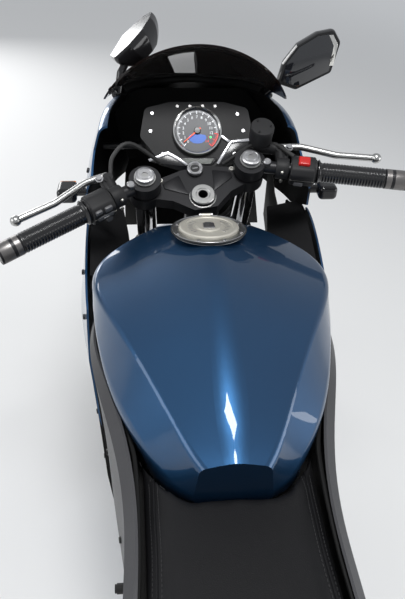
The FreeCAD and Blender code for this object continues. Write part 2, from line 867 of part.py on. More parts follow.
head_low = FORK.multVec(vec(-S.fork_offset, 0, S.head_tube_low))
head_high = FORK.multVec(vec(-S.fork_offset, 0, S.head_tube_high))
head_way = head_high - head_low
head_tube = Part.makeCylinder(S.head_tube_radius, head_way.Length, head_low, head_way)
stem_room = Part.makeCylinder(S.stem_radius + S.seat_gap, head_way.Length + 60,
                              head_low - head_way.normalize() * 30, head_way)
cross_tubes = [rod((-140, -plate_low - 2, 590), (-140, plate_low + 2, 590), 13),
               rod((-560, -79, 759), (-560, 79, 759), 9),
               rod((-150, -plate_low - 2, 312), (-150, plate_low + 2, 312), 10)]
pivot_shaft = rod((pivot.x, -plate_high - 6, pivot.z), (pivot.x, plate_high + 6, pivot.z), 9)
# The cowl's stay: a tube ahead of the head tube with a cross bar that holds the cowl's sides.
cowl_stay = [tube(((head.x + 60, 0, head.z - 76), (560, 0, 870), (752, 0, 876)), 9, 60),
             rod((640, -188, 872), (640, 188, 872), 7), rod((560, 0, 868), (560, 0, 938), 8)]
# The side stand's bracket and pin. The pin leans, so that the leg reaches out when it is down and
# lies along the machine when it is folded back.
stand_pivot = vec(S.stand_pivot_x, S.stand_pivot_y, S.stand_pivot_z)
stand_axis = vec(-0.2, 1, 0.176).normalize()
bracket = prism([(-130, 300), (-130, 350), (-104, 350), (-46, 298), (-46, 246), (-84, 246)], 96, plate_low)
boss_in, boss_out, pin_radius, pin_end = 11, 15, 6, 19
collar_start = stand_pivot - stand_axis * 23
collar_end = stand_pivot - stand_axis * (boss_in + S.seat_gap)
stand_pin = [rod(collar_start, collar_end, 13),
             rod(collar_start, stand_pivot + stand_axis * pin_end, pin_radius),
             rod(stand_pivot + stand_axis * (boss_out + S.seat_gap), stand_pivot + stand_axis * pin_end, 10)]
frame_shape = joined([head_tube, pivot_shaft] + side_frame + [mirrored(item) for item in side_frame]
                     + cross_tubes + cowl_stay + [bracket] + stand_pin)
frame_shape = frame_shape.cut(stem_room)
piece("frame", feature(frame_shape), CHASSIS)

# Engine: one closed mass with its crankcase, leaning cylinders and round side covers.
CRANKCASE = ((-22, 250), (-22, 470), (60, 492), (150, 462), (214, 390), (214, 280), (160, 222), (20, 214))
GEARCASE = ((-108, 300), (-92, 452), (-20, 480), (-20, 250), (-80, 262))
CYLINDER_BLOCK = ((48, 470), (128, 640), (262, 588), (212, 420))
engine_shape = joined([
    prism(CRANKCASE, -102, 102),
    prism(GEARCASE, -90, 66),
    prism(CYLINDER_BLOCK, -82, 82),
    Part.makeCylinder(74, 24, vec(60, -102, 330), -Y),
    Part.makeCylinder(60, 22, vec(120, 102, 322), Y),
])
piece("engine", feature(engine_shape.cut(frame_shape)), CHASSIS)

# Swing arm: a pivot tube, two tapered box arms and the blocks that hold the rear axle.
arm_inner, arm_outer = 76, 100
arm_spread = S.rear_tyre_half + 30


def arm_section(x, y_low, y_high, z_low, z_high):
    corners = [vec(x, y_low, z_low), vec(x, y_high, z_low), vec(x, y_high, z_high), vec(x, y_low, z_high)]
    return rounded(corners, 6, closed=True)


arm = Part.makeLoft([
    arm_section(pivot.x, arm_inner, arm_outer, pivot.z - 22, pivot.z + 22),
    arm_section(rear_axle.x + 60, arm_spread, arm_spread + 22, rear_axle.z - 24, rear_axle.z + 26),
], True, True)
axle_block = box((rear_axle.x - 48, arm_spread, rear_axle.z - 24),
                 (rear_axle.x + 60, arm_spread + 22, rear_axle.z + 26))
pivot_tube = rod((pivot.x, -arm_outer, pivot.z), (pivot.x, arm_outer, pivot.z), 24)
brace = prism([(pivot.x - 60, pivot.z - 20), (pivot.x - 60, pivot.z + 20), (pivot.x - 108, pivot.z + 16),
               (pivot.x - 108, pivot.z - 24)], -arm_inner - 6, arm_inner + 6)
axle_end = arm_spread + 22 + 14
rear_axle_bar = rod((rear_axle.x, -axle_end, rear_axle.z), (rear_axle.x, axle_end, rear_axle.z),
                    S.rear_axle_radius)
nuts = both(rod((rear_axle.x, arm_spread + 22, rear_axle.z), (rear_axle.x, arm_spread + 34, rear_axle.z), 14))
spacer = rod((rear_axle.x, S.rear_hub_half + 16, rear_axle.z), (rear_axle.x, arm_spread + 2, rear_axle.z), 14)
right_spacer = rod((rear_axle.x, -S.rear_hub_half - S.disc_thickness - 1, rear_axle.z),
                   (rear_axle.x, -arm_spread - 2, rear_axle.z), 14)
swingarm = joined([arm, mirrored(arm), axle_block, mirrored(axle_block), pivot_tube, brace, rear_axle_bar,
                   nuts.Solids[0], nuts.Solids[1], spacer, right_spacer])
swingarm = swingarm.cut(rod((pivot.x, -140, pivot.z), (pivot.x, 140, pivot.z), 9 + S.shaft_gap))
piece("swingarm", feature(swingarm), CHASSIS)

# Rear shock: a coil over a damper between the swing arm's brace and the frame's cross tube.
shock_low, shock_high = vec(pivot.x - 84, 0, pivot.z + 20), vec(-148, 0, 576)
shock_way = shock_high - shock_low
coil_start = shock_low + shock_way * (26 / shock_way.Length)
shock = joined([rod(shock_low, shock_high, 9),
                Part.makeCylinder(30, shock_way.Length - 50, coil_start, shock_way)])
piece("rear_shock", feature(shock.cut(frame_shape).cut(swingarm)), CHASSIS)

# Chain guard over the top run and the cover of the front sprocket, in one moulding each.
guard = prism([(-250, 448), (-640, 440), (-760, 428), (-790, 396), (-784, 392), (-756, 420), (-640, 432),
               (-250, 440)], S.chain_line - 7.5, S.chain_line + 14)
guard_lip = prism([(-250, 448), (-640, 440), (-640, 426), (-250, 434)], S.chain_line + 12, S.chain_line + 15)
guard_stay = box((-420, S.chain_line + 11, 360), (-396, S.chain_line + 15, 442))
cover = Part.makeCylinder(48, 4, gearbox + vec(-4, S.chain_line + 11, 2), Y)
guard_shape = joined([guard, guard_lip, guard_stay]).cut(swingarm)
piece("chain_guard", feature(Part.makeCompound([guard_shape, cover])), CHASSIS)

# Rear caliper above the right arm, astride the rear disc.
rear_disc_middle = -(S.rear_hub_half + S.disc_thickness / 2)
rear_block = block((rear_axle.x + 54, rear_disc_middle - 22, rear_axle.z + 66),
                   (rear_axle.x + 112, rear_disc_middle + 20, rear_axle.z + 118), 6)
rear_slot = Part.makeCylinder(S.rear_disc_radius + 4, 9.5, rear_axle + vec(0, rear_disc_middle - 4.75, 0), Y)
rear_arm = prism([(rear_axle.x - 20, rear_axle.z + 26), (rear_axle.x + 70, rear_axle.z + 84),
                  (rear_axle.x + 100, rear_axle.z + 70), (rear_axle.x + 60, rear_axle.z + 26)],
                 rear_disc_middle - 38, rear_disc_middle - 9)
rear_caliper = joined([rear_block.cut(rear_slot), rear_arm]).cut(swingarm)
piece("rear_caliper", feature(rear_caliper), CHASSIS)

# Radiator hung ahead of the engine between the frame's front tubes and the wheel.
radiator = box((346, -118, 420), (372, 118, 640))
tanks = both(box((342, 118, 416), (376, 136, 644)))
brackets = both(box((322, 60, 636), (350, 80, 672)))
filler_neck = Part.makeCylinder(16, 26, vec(359, -104, 640))
radiator_shape = joined([radiator] + tanks.Solids + brackets.Solids + [filler_neck])
piece("radiator", feature(radiator_shape.cut(frame_shape)), CHASSIS)

# Exhaust: two header pipes down the engine's front, a collector beneath it and a muffler on the right.
header = tube(((258, 36, 560), (316, 36, 520), (300, 36, 270), (236, 34, 196), (60, 14, 188)), 17, 60)
collector = tube(((80, 0, 188), (-40, -30, 190), (-170, -124, 212), (-330, -172, 316)), 25, 60)
muffler_low, muffler_high = vec(-318, -168.4, 308), vec(-760, -204, 480)
muffler_way = (muffler_high - muffler_low).normalize()
muffler = Part.makeCylinder(54, 400, muffler_low + muffler_way * 40, muffler_way)
muffler_nose = Part.makeCone(25, 54, 40, muffler_low, muffler_way)
muffler_tail = Part.makeCone(54, 34, 26, muffler_low + muffler_way * 440, muffler_way)
outlet = Part.makeCylinder(24, 80, muffler_low + muffler_way * 420, muffler_way)
exhaust = joined([header, mirrored(header), collector, muffler, muffler_nose, muffler_tail])
piece("exhaust", feature(exhaust.cut(outlet).cut(engine_shape)), CHASSIS)

# Side stand, down: a leg from the pin to a flat foot on the ground.
ground = CHASSIS.inverse()
stand_foot = ground.multVec(vec(S.stand_foot_x, S.stand_foot_y, 0))
ground_up = ground.Rotation.multVec(Z)
foot_pad = rod(stand_foot, stand_foot + ground_up * float(S.stand_pad_thickness), S.stand_pad_radius)
stand_leg = rod(stand_pivot, stand_foot + ground_up * 6, S.stand_leg_radius)
stand_boss = rod(stand_pivot - stand_axis * boss_in, stand_pivot + stand_axis * boss_out, 13)
stand_bore = rod(stand_pivot - stand_axis * 30, stand_pivot + stand_axis * 30, pin_radius + S.shaft_gap)
piece("side_stand", feature(joined([foot_pad, stand_leg, stand_boss]).cut(stand_bore)), CHASSIS)

# Fuel tank: a broad facet that narrows towards the seat, with falling sides.
TANK = (
    # x, crown z, then half width and height of the crease, the waist and the foot
    (318, 880, (86, 868), (104, 830), (92, 744)),
    (286, 902, (122, 868), (134, 836), (106, 742)),
    (240, 912, (168, 862), (174, 832), (128, 740)),
    (160, 918, (180, 867), (183, 833), (144, 738)),
    (60, 912, (140, 872), (169, 812), (142, 738)),
    (-50, 890, (88, 858), (133, 804), (116, 742)),
    (-115, 866, (60, 846), (92, 792), (88, 752)),
    (-152, 846, (42, 836), (48, 786), (46, 766)),
)
tank_rows = [(x, [(0, crown), crease, waist, foot]) for x, crown, crease, waist, foot in TANK]
tank_shape = skin(tank_rows, (60, 14, 22, 8))
FILLER = moved(S.filler_x, 0, S.filler_z).multiply(turned(Y, S.filler_tilt))


def filler_disc(radius, low, high):
    disc = Part.makeCylinder(float(radius), float(high - low), vec(0, 0, low))
    disc.Placement = FILLER.multiply(disc.Placement)
    return disc


ring_floor = -S.filler_ring_height
lid_low = ring_floor + 2 + S.seat_gap
tank_shape = tank_shape.cut(filler_disc(S.filler_ring_radius + S.seat_gap, ring_floor, 40))
tank_shape = tank_shape.cut(filler_disc(S.filler_neck_radius, ring_floor - S.filler_neck_depth, 1))
filler_ring = filler_disc(S.filler_ring_radius, ring_floor, 0)
filler_ring = filler_ring.cut(filler_disc(S.filler_lid_radius + 1, ring_floor + 2, 1))
filler_ring = filler_ring.cut(filler_disc(S.filler_neck_radius, ring_floor - 1, 1))

# The cap's hinge: a knuckle on the cap turns on a pin between two ears of the ring.
cap_hinge = vec(S.filler_lid_radius + 4, 0, S.hinge_pin_radius * 2)
ear_start = S.hinge_half + S.seat_gap


def on_filler(shape):
    shape.Placement = FILLER.multiply(shape.Placement)
    return shape


def hinge_rod(radius, low, high):
    return on_filler(rod(cap_hinge + vec(0, low, 0), cap_hinge + vec(0, high, 0), radius))


ears = []
for low in (ear_start, -ear_start - S.hinge_ear):
    ears.append(hinge_rod(S.hinge_pin_radius * 2, low, low + S.hinge_ear))
    ears.append(on_filler(box((cap_hinge.x - S.hinge_pin_radius * 2, low, -1),
                              (cap_hinge.x + S.hinge_pin_radius * 2, low + S.hinge_ear, cap_hinge.z))))
hinge_pin = hinge_rod(S.hinge_pin_radius, -ear_start - 1, ear_start + 1)
knuckle = hinge_rod(cap_hinge.z - S.seat_gap, -S.hinge_half, S.hinge_half)
knuckle_tab = on_filler(box((S.filler_lid_radius - 6, -S.hinge_half, S.seat_gap),
                            (cap_hinge.x, S.hinge_half, lid_low + S.filler_lid_height)))
cap_disc = filler_disc(S.filler_lid_radius, lid_low, lid_low + S.filler_lid_height)
cap_bore = hinge_rod(S.hinge_pin_radius + S.shaft_gap, -S.hinge_half - 1, S.hinge_half + 1)
piece("filler_ring", feature(joined([filler_ring, hinge_pin] + ears)), CHASSIS)
piece("fuel_cap", feature(joined([cap_disc, knuckle_tab, knuckle]).cut(cap_bore)), CHASSIS)
piece("fuel_tank", feature(tank_shape.cut(frame_shape)), CHASSIS)


def slab_rows(table, radii):
    """Loft of a solid pad from rows of x, half width, top and bottom."""
    rows = []
    for x, half, top, low in table:
        rows.append((x, [(half * 0.72, top), (half, (top * 3 + low) / 4), (half * 0.92, low)]))
    return skin(rows, radii)


# Seats: closed soft pads. The rider's wraps the rear of the tank.
RIDER_SEAT = (
    # x, half width, top z, bottom z
    (-58, 124, 792, 764),
    (-130, 115, 779, 742),
    (-230, 111, 782, 732),
    (-320, 114, 789, 738),
    (-430, 136, 808, 768),
    (-486, 130, 838, 796),
)
PILLION_SEAT = (
    (-492, 108, 862, 776),
    (-560, 118, 884, 790),
    (-680, 104, 890, 812),
    (-790, 70, 882, 836),
)
tank_room = skin([(x, inset(half, -0.6)) for x, half in tank_rows], (60, 14, 22, 8))
piece("seat_rider", feature(slab_rows(RIDER_SEAT, (16, 16, 6)).cut(tank_room)), CHASSIS)

# Tail: a hollow cowl under the pillion seat, a lamp at its end and the fender below it.
TAIL = (
    # x, then half width and height of the top edge, the waist and the bottom edge
    (-334, (108, 728), (122, 712), (112, 652)),
    (-430, (128, 754), (138, 732), (114, 664)),
    (-500, (124, 784), (136, 758), (106, 684)),
    (-600, (112, 802), (126, 776), (92, 712)),
    (-700, (100, 822), (112, 796), (76, 742)),
    (-800, (80, 842), (94, 820), (60, 772)),
    (-900, (56, 860), (72, 838), (46, 800)),
    (-960, (40, 868), (56, 848), (38, 818)),
)
tail_rows = [(x, [top, waist, low]) for x, top, waist, low in TAIL]
tail_radii = (10, 12, 6)
tail_shape = skin(tail_rows, tail_radii).cut(skin(tail_rows, tail_radii, S.panel_wall))
tail_end = tail_rows[-1]
tail_room = skin([(x, inset(half, -S.seat_gap)) for x, half in tail_rows], tail_radii)
piece("seat_pillion", feature(slab_rows(PILLION_SEAT, (16, 14, 6)).cut(tail_room)), CHASSIS)
tail_shape = tail_shape.cut(frame_shape)
piece("tail_cowl", feature(tail_shape), CHASSIS)
lamp_rows = [tail_end, (-984, [(34, 866), (48, 848), (34, 824)]), (-1002, [(24, 860), (32, 848), (24, 834)])]
piece("tail_lamp", feature(skin(lamp_rows, (8, 8, 6))), CHASSIS)
REAR_FENDER = ((-836, 812), (-940, 840), (-990, 720), (-1046, 620), (-1057, 560), (-1049, 560),
               (-1036, 618), (-980, 714), (-930, 772), (-836, 762))
rear_fender = prism(REAR_FENDER, -58, 58).cut(tail_room)
signal_bar = rod((-980, -130, 722), (-980, 130, 722), 6)
piece("rear_fender", feature(joined([rear_fender, signal_bar])), CHASSIS)

# Side covers: strips over the frame from beside the tank's front back to the tail.
SIDE_COVER = (
    # x, then half width and height of the top edge, the outer face and the bottom edge
    (178, (176, 802), (186, 786), (172, 690)),
    (60, (170, 799), (180, 782), (168, 640)),
    (-50, (137, 793), (151, 776), (156, 610)),
    (-130, (122, 784), (135, 768), (143, 610)),
    (-230, (117, 778), (130, 762), (130, 625)),
    (-330, (120, 768), (128, 752), (121, 652)),
)


def panel_side(rows, wall):
    """Loft of one side's open panel: the rows' outer line and the same line drawn in by a wall."""
    wires = []
    for x, line in rows:
        inner = [(y - wall, z) for y, z in line]
        corners = [vec(x, y, z) for y, z in list(line) + inner[::-1]]
        wires.append(Part.makePolygon(corners + corners[:1]))
    return Part.makeLoft(wires, True, False)


cover_rows = [(x, list(line)) for x, *line in SIDE_COVER]
cover_side = panel_side(cover_rows, S.panel_wall)
cover_tab = box((40, 118, 742), (70, 169, 752))
cover_side = joined([cover_side, cover_tab]).cut(tank_room)
cover_side = max(cover_side.Solids, key=lambda solid: solid.Volume)
piece("side_covers", feature(both(cover_side)), CHASSIS)

# Fairing. The nose is one shell from the headlamps back to the cockpit, open above for the screen.
NOSE = (
    # x, top z, then half width and height of the shoulder, the widest line and the lower edge
    (862, 902, (40, 898), (62, 872), (40, 842)),
    (820, 944, (78, 934), (120, 885), (84, 806)),
    (740, 975, (124, 962), (172, 905), (134, 756)),
    (640, 990, (158, 980), (196, 915), (178, 730)),
    (540, 998, (176, 986), (205, 905), (198, 720)),
    (420, 962, (180, 950), (209, 880), (208, 740)),
)
nose_rows = [(x, [(0, top), shoulder, wide, low]) for x, top, shoulder, wide, low in NOSE]
nose_radii = (60, 22, 24, 10)
NOSE_SIDE = ((880, 1020), (880, 776), (760, 772), (640, 776), (520, 800), (424, 846), (424, 912), (474, 938),
             (496, 1020))
SCREEN_OPENING = ((400, 0), (400, 170), (540, 162), (640, 144), (740, 106), (782, 62), (790, 0))


def upright(points, low, high):
    """Solid between two heights whose outline from above is a half outline and its mirror image."""
    corners = [vec(x, y, low) for x, y in points]
    corners += [vec(x, -y, low) for x, y in reversed(points) if y > 0]
    return Part.Face(Part.makePolygon(corners + corners[:1])).extrude(vec(0, 0, high - low))


LAMP_OPENING = ((22, 898), (98, 912), (92, 872), (44, 852), (20, 862))


def lamp_window(low_x, high_x):
    corners = [vec(low_x, y, z) for y, z in LAMP_OPENING]
    return Part.Face(Part.makePolygon(corners + corners[:1])).extrude(vec(high_x - low_x, 0, 0))


nose_outer = skin(nose_rows, nose_radii)
nose_shell = nose_outer.cut(skin(nose_rows, nose_radii, S.panel_wall))
nose_shell = nose_shell.common(prism(NOSE_SIDE, -260, 260)).cut(upright(SCREEN_OPENING, 925, 1050))
lamp_side = lamp_window(760, 880)
nose_shell = nose_shell.cut(lamp_side).cut(mirrored(lamp_side)).cut(frame_shape)
piece("upper_cowl", feature(nose_shell), CHASSIS)

# Headlamps: two lenses flush in the nose in front of one closed reflector housing.
lens_body = nose_outer.cut(skin(nose_rows, nose_radii, 3))
lens = lens_body.common(lamp_side)
housing = joined([box((742, -100, 852), (786, 100, 908))]).common(skin(nose_rows, nose_radii, 8))
reflector = lamp_window(780, 880).common(skin(nose_rows, nose_radii, 3))
lamp = joined([housing, reflector, mirrored(reflector), lens, mirrored(lens)]).cut(frame_shape)
piece("headlamp", feature(lamp), CHASSIS)

# Windscreen: a bubble from the nose up and back, with its rear edge cut on a slope.
SCREEN = (
    # x, half width and height of the lower edge, height of the crown
    (784, 64, 964, 972),
    (700, 134, 981, 1022),
    (600, 166, 996, 1076),
    (520, 180, 1004, 1110),
    (476, 184, 1000, 1124),
)


def bubble(x, half, low, crown):
    outer = Part.Arc(vec(x, half, low), vec(x, 0, crown), vec(x, -half, low)).toShape()
    thin = float(S.screen_wall)
    inner = Part.Arc(vec(x, thin - half, low), vec(x, 0, crown - thin), vec(x, half - thin, low)).toShape()
    left = Part.LineSegment(vec(x, half - thin, low), vec(x, half, low)).toShape()
    right = Part.LineSegment(vec(x, -half, low), vec(x, thin - half, low)).toShape()
    return Part.Wire([outer, right, inner, left])


screen = Part.makeLoft([bubble(*row) for row in SCREEN], True, False)
SCREEN_TRIM = ((470, 1140), (486, 1126), (506, 1070), (548, 1010), (572, 990), (572, 950), (470, 950))
screen = screen.cut(prism(SCREEN_TRIM, -220, 220)).cut(nose_outer)
piece("windscreen", feature(screen), CHASSIS)

# Side cowls, one a side, each an open shell with a cooling vent.
SIDE_COWL = (
    # x, then half width and height of the top edge, the bulge, the middle and the lower edge
    (560, (198, 788), (200, 762), (190, 690), (172, 630)),
    (470, (206, 826), (214, 740), (205, 600), (184, 500)),
    (380, (206, 846), (222, 740), (212, 540), (190, 380)),
    (280, (204, 826), (220, 730), (210, 500), (182, 300)),
    (190, (198, 800), (206, 720), (196, 480), (168, 262)),
    (90, (180, 742), (190, 680), (184, 470), (160, 250)),
)
COWL_VENT = ((130, 560), (262, 650), (308, 600), (230, 500), (150, 480))
COWL_SEAM = ((-10, 240), (90, 254), (190, 266), (280, 306), (420, 430))
COWL_REAR = ((60, 800), (186, 800), (130, 640), (110, 520), (96, 400), (150, 262), (150, 230), (60, 230))
cowl_rows = [(x, list(line)) for x, *line in SIDE_COWL]
cowl_side = panel_side(cowl_rows, S.panel_wall)
cowl_side = cowl_side.cut(prism(COWL_VENT, 100, 260)).cut(prism(COWL_REAR, 100, 260))
cowl_side = cowl_side.cut(prism(((-10, 200),) + COWL_SEAM + ((420, 200),), 100, 260))
cowl_side = cowl_side.cut(nose_outer)
piece("side_cowl_left", feature(cowl_side), CHASSIS)
piece("side_cowl_right", feature(mirrored(cowl_side)), CHASSIS)

# Belly pan: the two side cowls meet in it under the engine, at the seam.
BELLY = (
    # x, then half width and height of the top edge, the side and the keel
    (322, (190, 360), (156, 216), (66, 168)),
    (200, (178, 300), (148, 186), (66, 146)),
    (100, (168, 280), (138, 178), (64, 143)),
    (0, (152, 266), (124, 180), (58, 150)),
)
belly_rows = [(x, list(line)) for x, *line in BELLY]
belly_radii = (4, 18, 18)
belly = skin(belly_rows, belly_radii).cut(skin(belly_rows, belly_radii, S.panel_wall))
belly = belly.cut(prism([(-10, 400)] + [(x, z - S.seat_gap) for x, z in COWL_SEAM] + [(420, 400)], -220, 220))
piece("belly_pan", feature(belly), CHASSIS)

# Inner panels between the cockpit and the side cowls.
INNER_PANEL = (
    # x, then across and height of the outer edge and of the inner edge
    (262, (196, 812), (178, 800)),
    (340, (199, 828), (136, 782)),
    (430, (202, 832), (136, 790)),
    (500, (200, 812), (146, 800)),
)
panel_wires = []
for x, (outer_y, outer_z), (inner_y, inner_z) in INNER_PANEL:
    corners = [vec(x, outer_y, outer_z), vec(x, inner_y, inner_z), vec(x, inner_y, inner_z - 3),
               vec(x, outer_y, outer_z - 3)]
    panel_wires.append(Part.makePolygon(corners + corners[:1]))
inner_panel = Part.makeLoft(panel_wires, True, False).cut(cowl_side)
piece("inner_panels", feature(both(inner_panel)), CHASSIS)

# Instrument panel on the cowl's stay, its face turned up to the rider: local z out of the face, local
# x up the face.
FACE_UP, FACE_OUT = vec(0.66, 0, 0.75), vec(-0.75, 0, 0.66)
DIAL = FreeCAD.Placement(vec(518, 0, 953), FreeCAD.Rotation(FACE_UP, Y, FACE_OUT, "ZXY"))
PANEL_FACE = ((58, 52), (46, 98), (-8, 108), (-52, 74), (-66, 28))
dial_radius = 45.6
face_points = [vec(a, b, -36) for a, b in PANEL_FACE] + [vec(a, -b, -36) for a, b in reversed(PANEL_FACE)]
panel_block = Part.Face(rounded(face_points, 12.0, closed=True)).extrude(vec(0, 0, 36))
dial = Part.makeCylinder(dial_radius, 10)
dial_well = Part.makeCylinder(dial_radius - 4, 8, vec(0, 0, 6))
panel_shape = joined([panel_block, dial]).cut(dial_well)
panel_shape.Placement = DIAL
piece("instrument_panel", feature(panel_shape.cut(frame_shape)), CHASSIS)

# Mirrors on the cowl's shoulders: the right one stands out, the left one is folded forward and in.
mirror_root, mirror_elbow = (640, 150, 984), (616, 166, 1012)
mirror_centre = (217, 1070)
MIRROR_FACE = ((158, 1020), (196, 1008), (262, 1042), (272, 1098), (256, 1120), (226, 1114), (190, 1092),
               (166, 1058))
MIRROR_DEPTH = ((586, 0.97), (592, 1.0), (612, 0.9), (634, 0.5))
head_wires = []
for x, share in MIRROR_DEPTH:
    corners = [vec(x, mirror_centre[0] + (y - mirror_centre[0]) * share,
                   mirror_centre[1] + (z - mirror_centre[1]) * share) for y, z in MIRROR_FACE]
    head_wires.append(rounded(corners, 9 * share, closed=True))
mirror_head = Part.makeLoft(head_wires, True, False)
mirror_stalk = tube((mirror_root, mirror_elbow, (604, 184, 1046)), 8, 12)
mirror_boot = rod((646, 146, 972), mirror_root, 14)
open_mirror = joined([mirror_stalk, mirror_head])
folded_mirror = open_mirror.copy()
folded_mirror.rotate(vec(*mirror_root), Z, -88)
folded_mirror.rotate(vec(*mirror_root), X, 52)
right_mirror = mirrored(joined([open_mirror, mirror_boot]).cut(nose_outer).cut(screen))
left_mirror = joined([folded_mirror, mirror_boot]).cut(nose_outer).cut(screen)
piece("mirrors", feature(Part.makeCompound([left_mirror, right_mirror])), CHASSIS)

# Turn signals: short stalks with rounded lamps, on the cowl in front and on the fender's bar behind.
front_signal = joined([rod((444, 200, 870), (444, 232, 870), 8), block((420, 226, 856), (466, 262, 884), 9)])
front_signal = front_signal.cut(nose_outer)
rear_signal = block((-1002, 124, 706), (-958, 172, 738), 9).cut(signal_bar)
piece("turn_signals", feature(Part.makeCompound([front_signal, mirrored(front_signal), rear_signal,
                                                 mirrored(rear_signal)])), CHASSIS)

# Foot controls: hangers outside the pivot plates with pegs, the shift lever and the brake pedal,
# and passenger pegs on their own hangers.
HANGER = ((-132, 430), (-170, 300), (-236, 326), (-250, 470), (-190, 520))
PASSENGER_HANGER = ((-352, 622), (-392, 636), (-444, 478), (-476, 452), (-470, 430), (-428, 434))
rider_hanger = prism(HANGER, plate_high + 0.2, plate_high + 8)
rider_peg = rod((-214, plate_high + 6, 345), (-214, 208, 345), 11)
toe_lever = tube(((-176, plate_high + 14, 322), (-90, 138, 306), (-26, 150, 304)), 6, 30)
toe_pivot = rod((-176, plate_high + 4, 322), (-176, plate_high + 22, 322), 10)
toe_rubber = rod((-26, 142, 304), (-26, 176, 304), 8)
passenger = joined([prism(PASSENGER_HANGER, 101, 108), rod((-452, 104, 442), (-452, 190, 442), 9)])
foot_side = joined([rider_hanger, rider_peg, toe_lever, toe_pivot, toe_rubber]).cut(frame_shape)
passenger = passenger.cut(frame_shape)
controls = [foot_side, mirrored(foot_side), passenger, mirrored(passenger)]
piece("foot_controls", feature(Part.makeCompound(controls)), CHASSIS)

# Brake hose: from the master cylinder down the right leg, across below the yokes to the caliper.
hose_start = bar_point(-1, S.perch_start - 25, 46)
HOSE_ROUTE = ((20, -120, 650), (34, -109, 580), (44, -84, 500), (44, -10, 440), (36, 96, 420),
              (14, 130, 360), (-50, 124, 260), (-92, 84, 176))
hose = tube((tuple(hose_start),) + HOSE_ROUTE, 4.5, 24)
piece("front_brake_hose", feature(hose.cut(right_controls)), STEERED)


# Set the origin at the bottom centre of the whole machine's box, check every object and write the
# sub-parts.
doc.recompute()
whole_box = FreeCAD.BoundBox()
for item in PIECES:
    whole_box.add(item.Shape.optimalBoundingBox(False))
to_origin = moved(-whole_box.Center.x, -whole_box.Center.y, -whole_box.ZMin)
for item in PIECES:
    item.Placement = to_origin.multiply(item.Placement)
doc.recompute()
for item in doc.Objects:
    if "Invalid" in item.State or "Error" in item.State:
        raise ValueError(f"{item.Name} did not build: {item.State}")
os.makedirs("parts", exist_ok=True)
for item in PIECES:
    if item.Shape.isNull() or not item.Shape.isValid():
        raise ValueError(f"{item.Label} is not a valid shape")
    item.Shape.exportStep(f"parts/{item.Label}.step")
    extent = item.Shape.optimalBoundingBox(False)
    corners = (extent.XMin, extent.YMin, extent.ZMin, extent.XMax, extent.YMax, extent.ZMax)
    print(item.Label, len(item.Shape.Solids), round(item.Shape.Volume / 1000), "cm3",
          [round(number) for number in corners])
print("origin moved by", [round(number, 3) for number in to_origin.Base])
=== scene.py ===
import json
import math
import bmesh
import bpy
from mathutils import Matrix, Vector
from mathutils.bvhtree import BVHTree


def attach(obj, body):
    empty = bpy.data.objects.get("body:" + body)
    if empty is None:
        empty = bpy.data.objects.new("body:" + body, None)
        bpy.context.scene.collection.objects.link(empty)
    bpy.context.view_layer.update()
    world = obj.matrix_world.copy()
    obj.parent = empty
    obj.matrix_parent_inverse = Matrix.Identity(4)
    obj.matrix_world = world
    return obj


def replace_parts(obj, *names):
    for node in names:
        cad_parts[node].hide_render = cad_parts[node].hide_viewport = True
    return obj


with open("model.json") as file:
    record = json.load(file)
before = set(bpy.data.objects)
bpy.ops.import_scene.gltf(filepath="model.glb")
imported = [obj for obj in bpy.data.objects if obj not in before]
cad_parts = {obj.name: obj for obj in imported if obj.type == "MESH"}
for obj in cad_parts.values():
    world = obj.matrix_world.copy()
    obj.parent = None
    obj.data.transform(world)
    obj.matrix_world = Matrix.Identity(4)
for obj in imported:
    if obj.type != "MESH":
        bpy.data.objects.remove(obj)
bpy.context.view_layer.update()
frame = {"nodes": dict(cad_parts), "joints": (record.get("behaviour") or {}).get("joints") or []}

# The machine's own upright frame, read from the joints: y along the rear axle, the steering axis
# raked back from z. Steered pieces use the fork's frame, whose origin is the front axle. Pieces are
# modelled in millimetres in one of the two and baked into place.
RAKE = math.radians(25)
REAR_AXLE = (-0.685, 0, 0.314)
joints = {joint["name"]: joint for joint in frame["joints"]}


def frame_of(across, raked, rake):
    """Rotation whose y is across and whose z leans forward from the raked line."""
    y = Vector(across).normalized()
    raked = Vector(raked).normalized()
    ahead = y.cross(raked)
    x = ahead * math.cos(rake) - raked * math.sin(rake)
    z = ahead * math.sin(rake) + raked * math.cos(rake)
    return Matrix((x, y, z)).transposed().to_4x4()


steering, front, rear = (joints[name] for name in ("steering_turn", "front_wheel_spin", "rear_wheel_spin"))
MILLIMETRES = Matrix.Scale(0.001, 4)
machine = frame_of(rear["axis"], steering["axis"], RAKE)
machine = Matrix.Translation(Vector(rear["pos_m"]) - machine @ Vector(REAR_AXLE)) @ machine
fork = Matrix.Translation(Vector(front["pos_m"])) @ frame_of(front["axis"], steering["axis"], 0)
chassis_mm, fork_mm = machine @ MILLIMETRES, fork @ MILLIMETRES
rear_mm = Matrix.Translation(Vector(rear["pos_m"])) @ machine.to_3x3().to_4x4() @ MILLIMETRES

# Main frame: welded steel tubes and plates from the steering head to the swing arm's pivot, with
# rails for the seats and a stay for the fairing. Satin black enamel, sprayed after welding.
GRAIN_SHARE = 0.35
CLOUD_RANGE, GLOSS_RANGE = (0.32, 0.68), (0.3, 0.7)


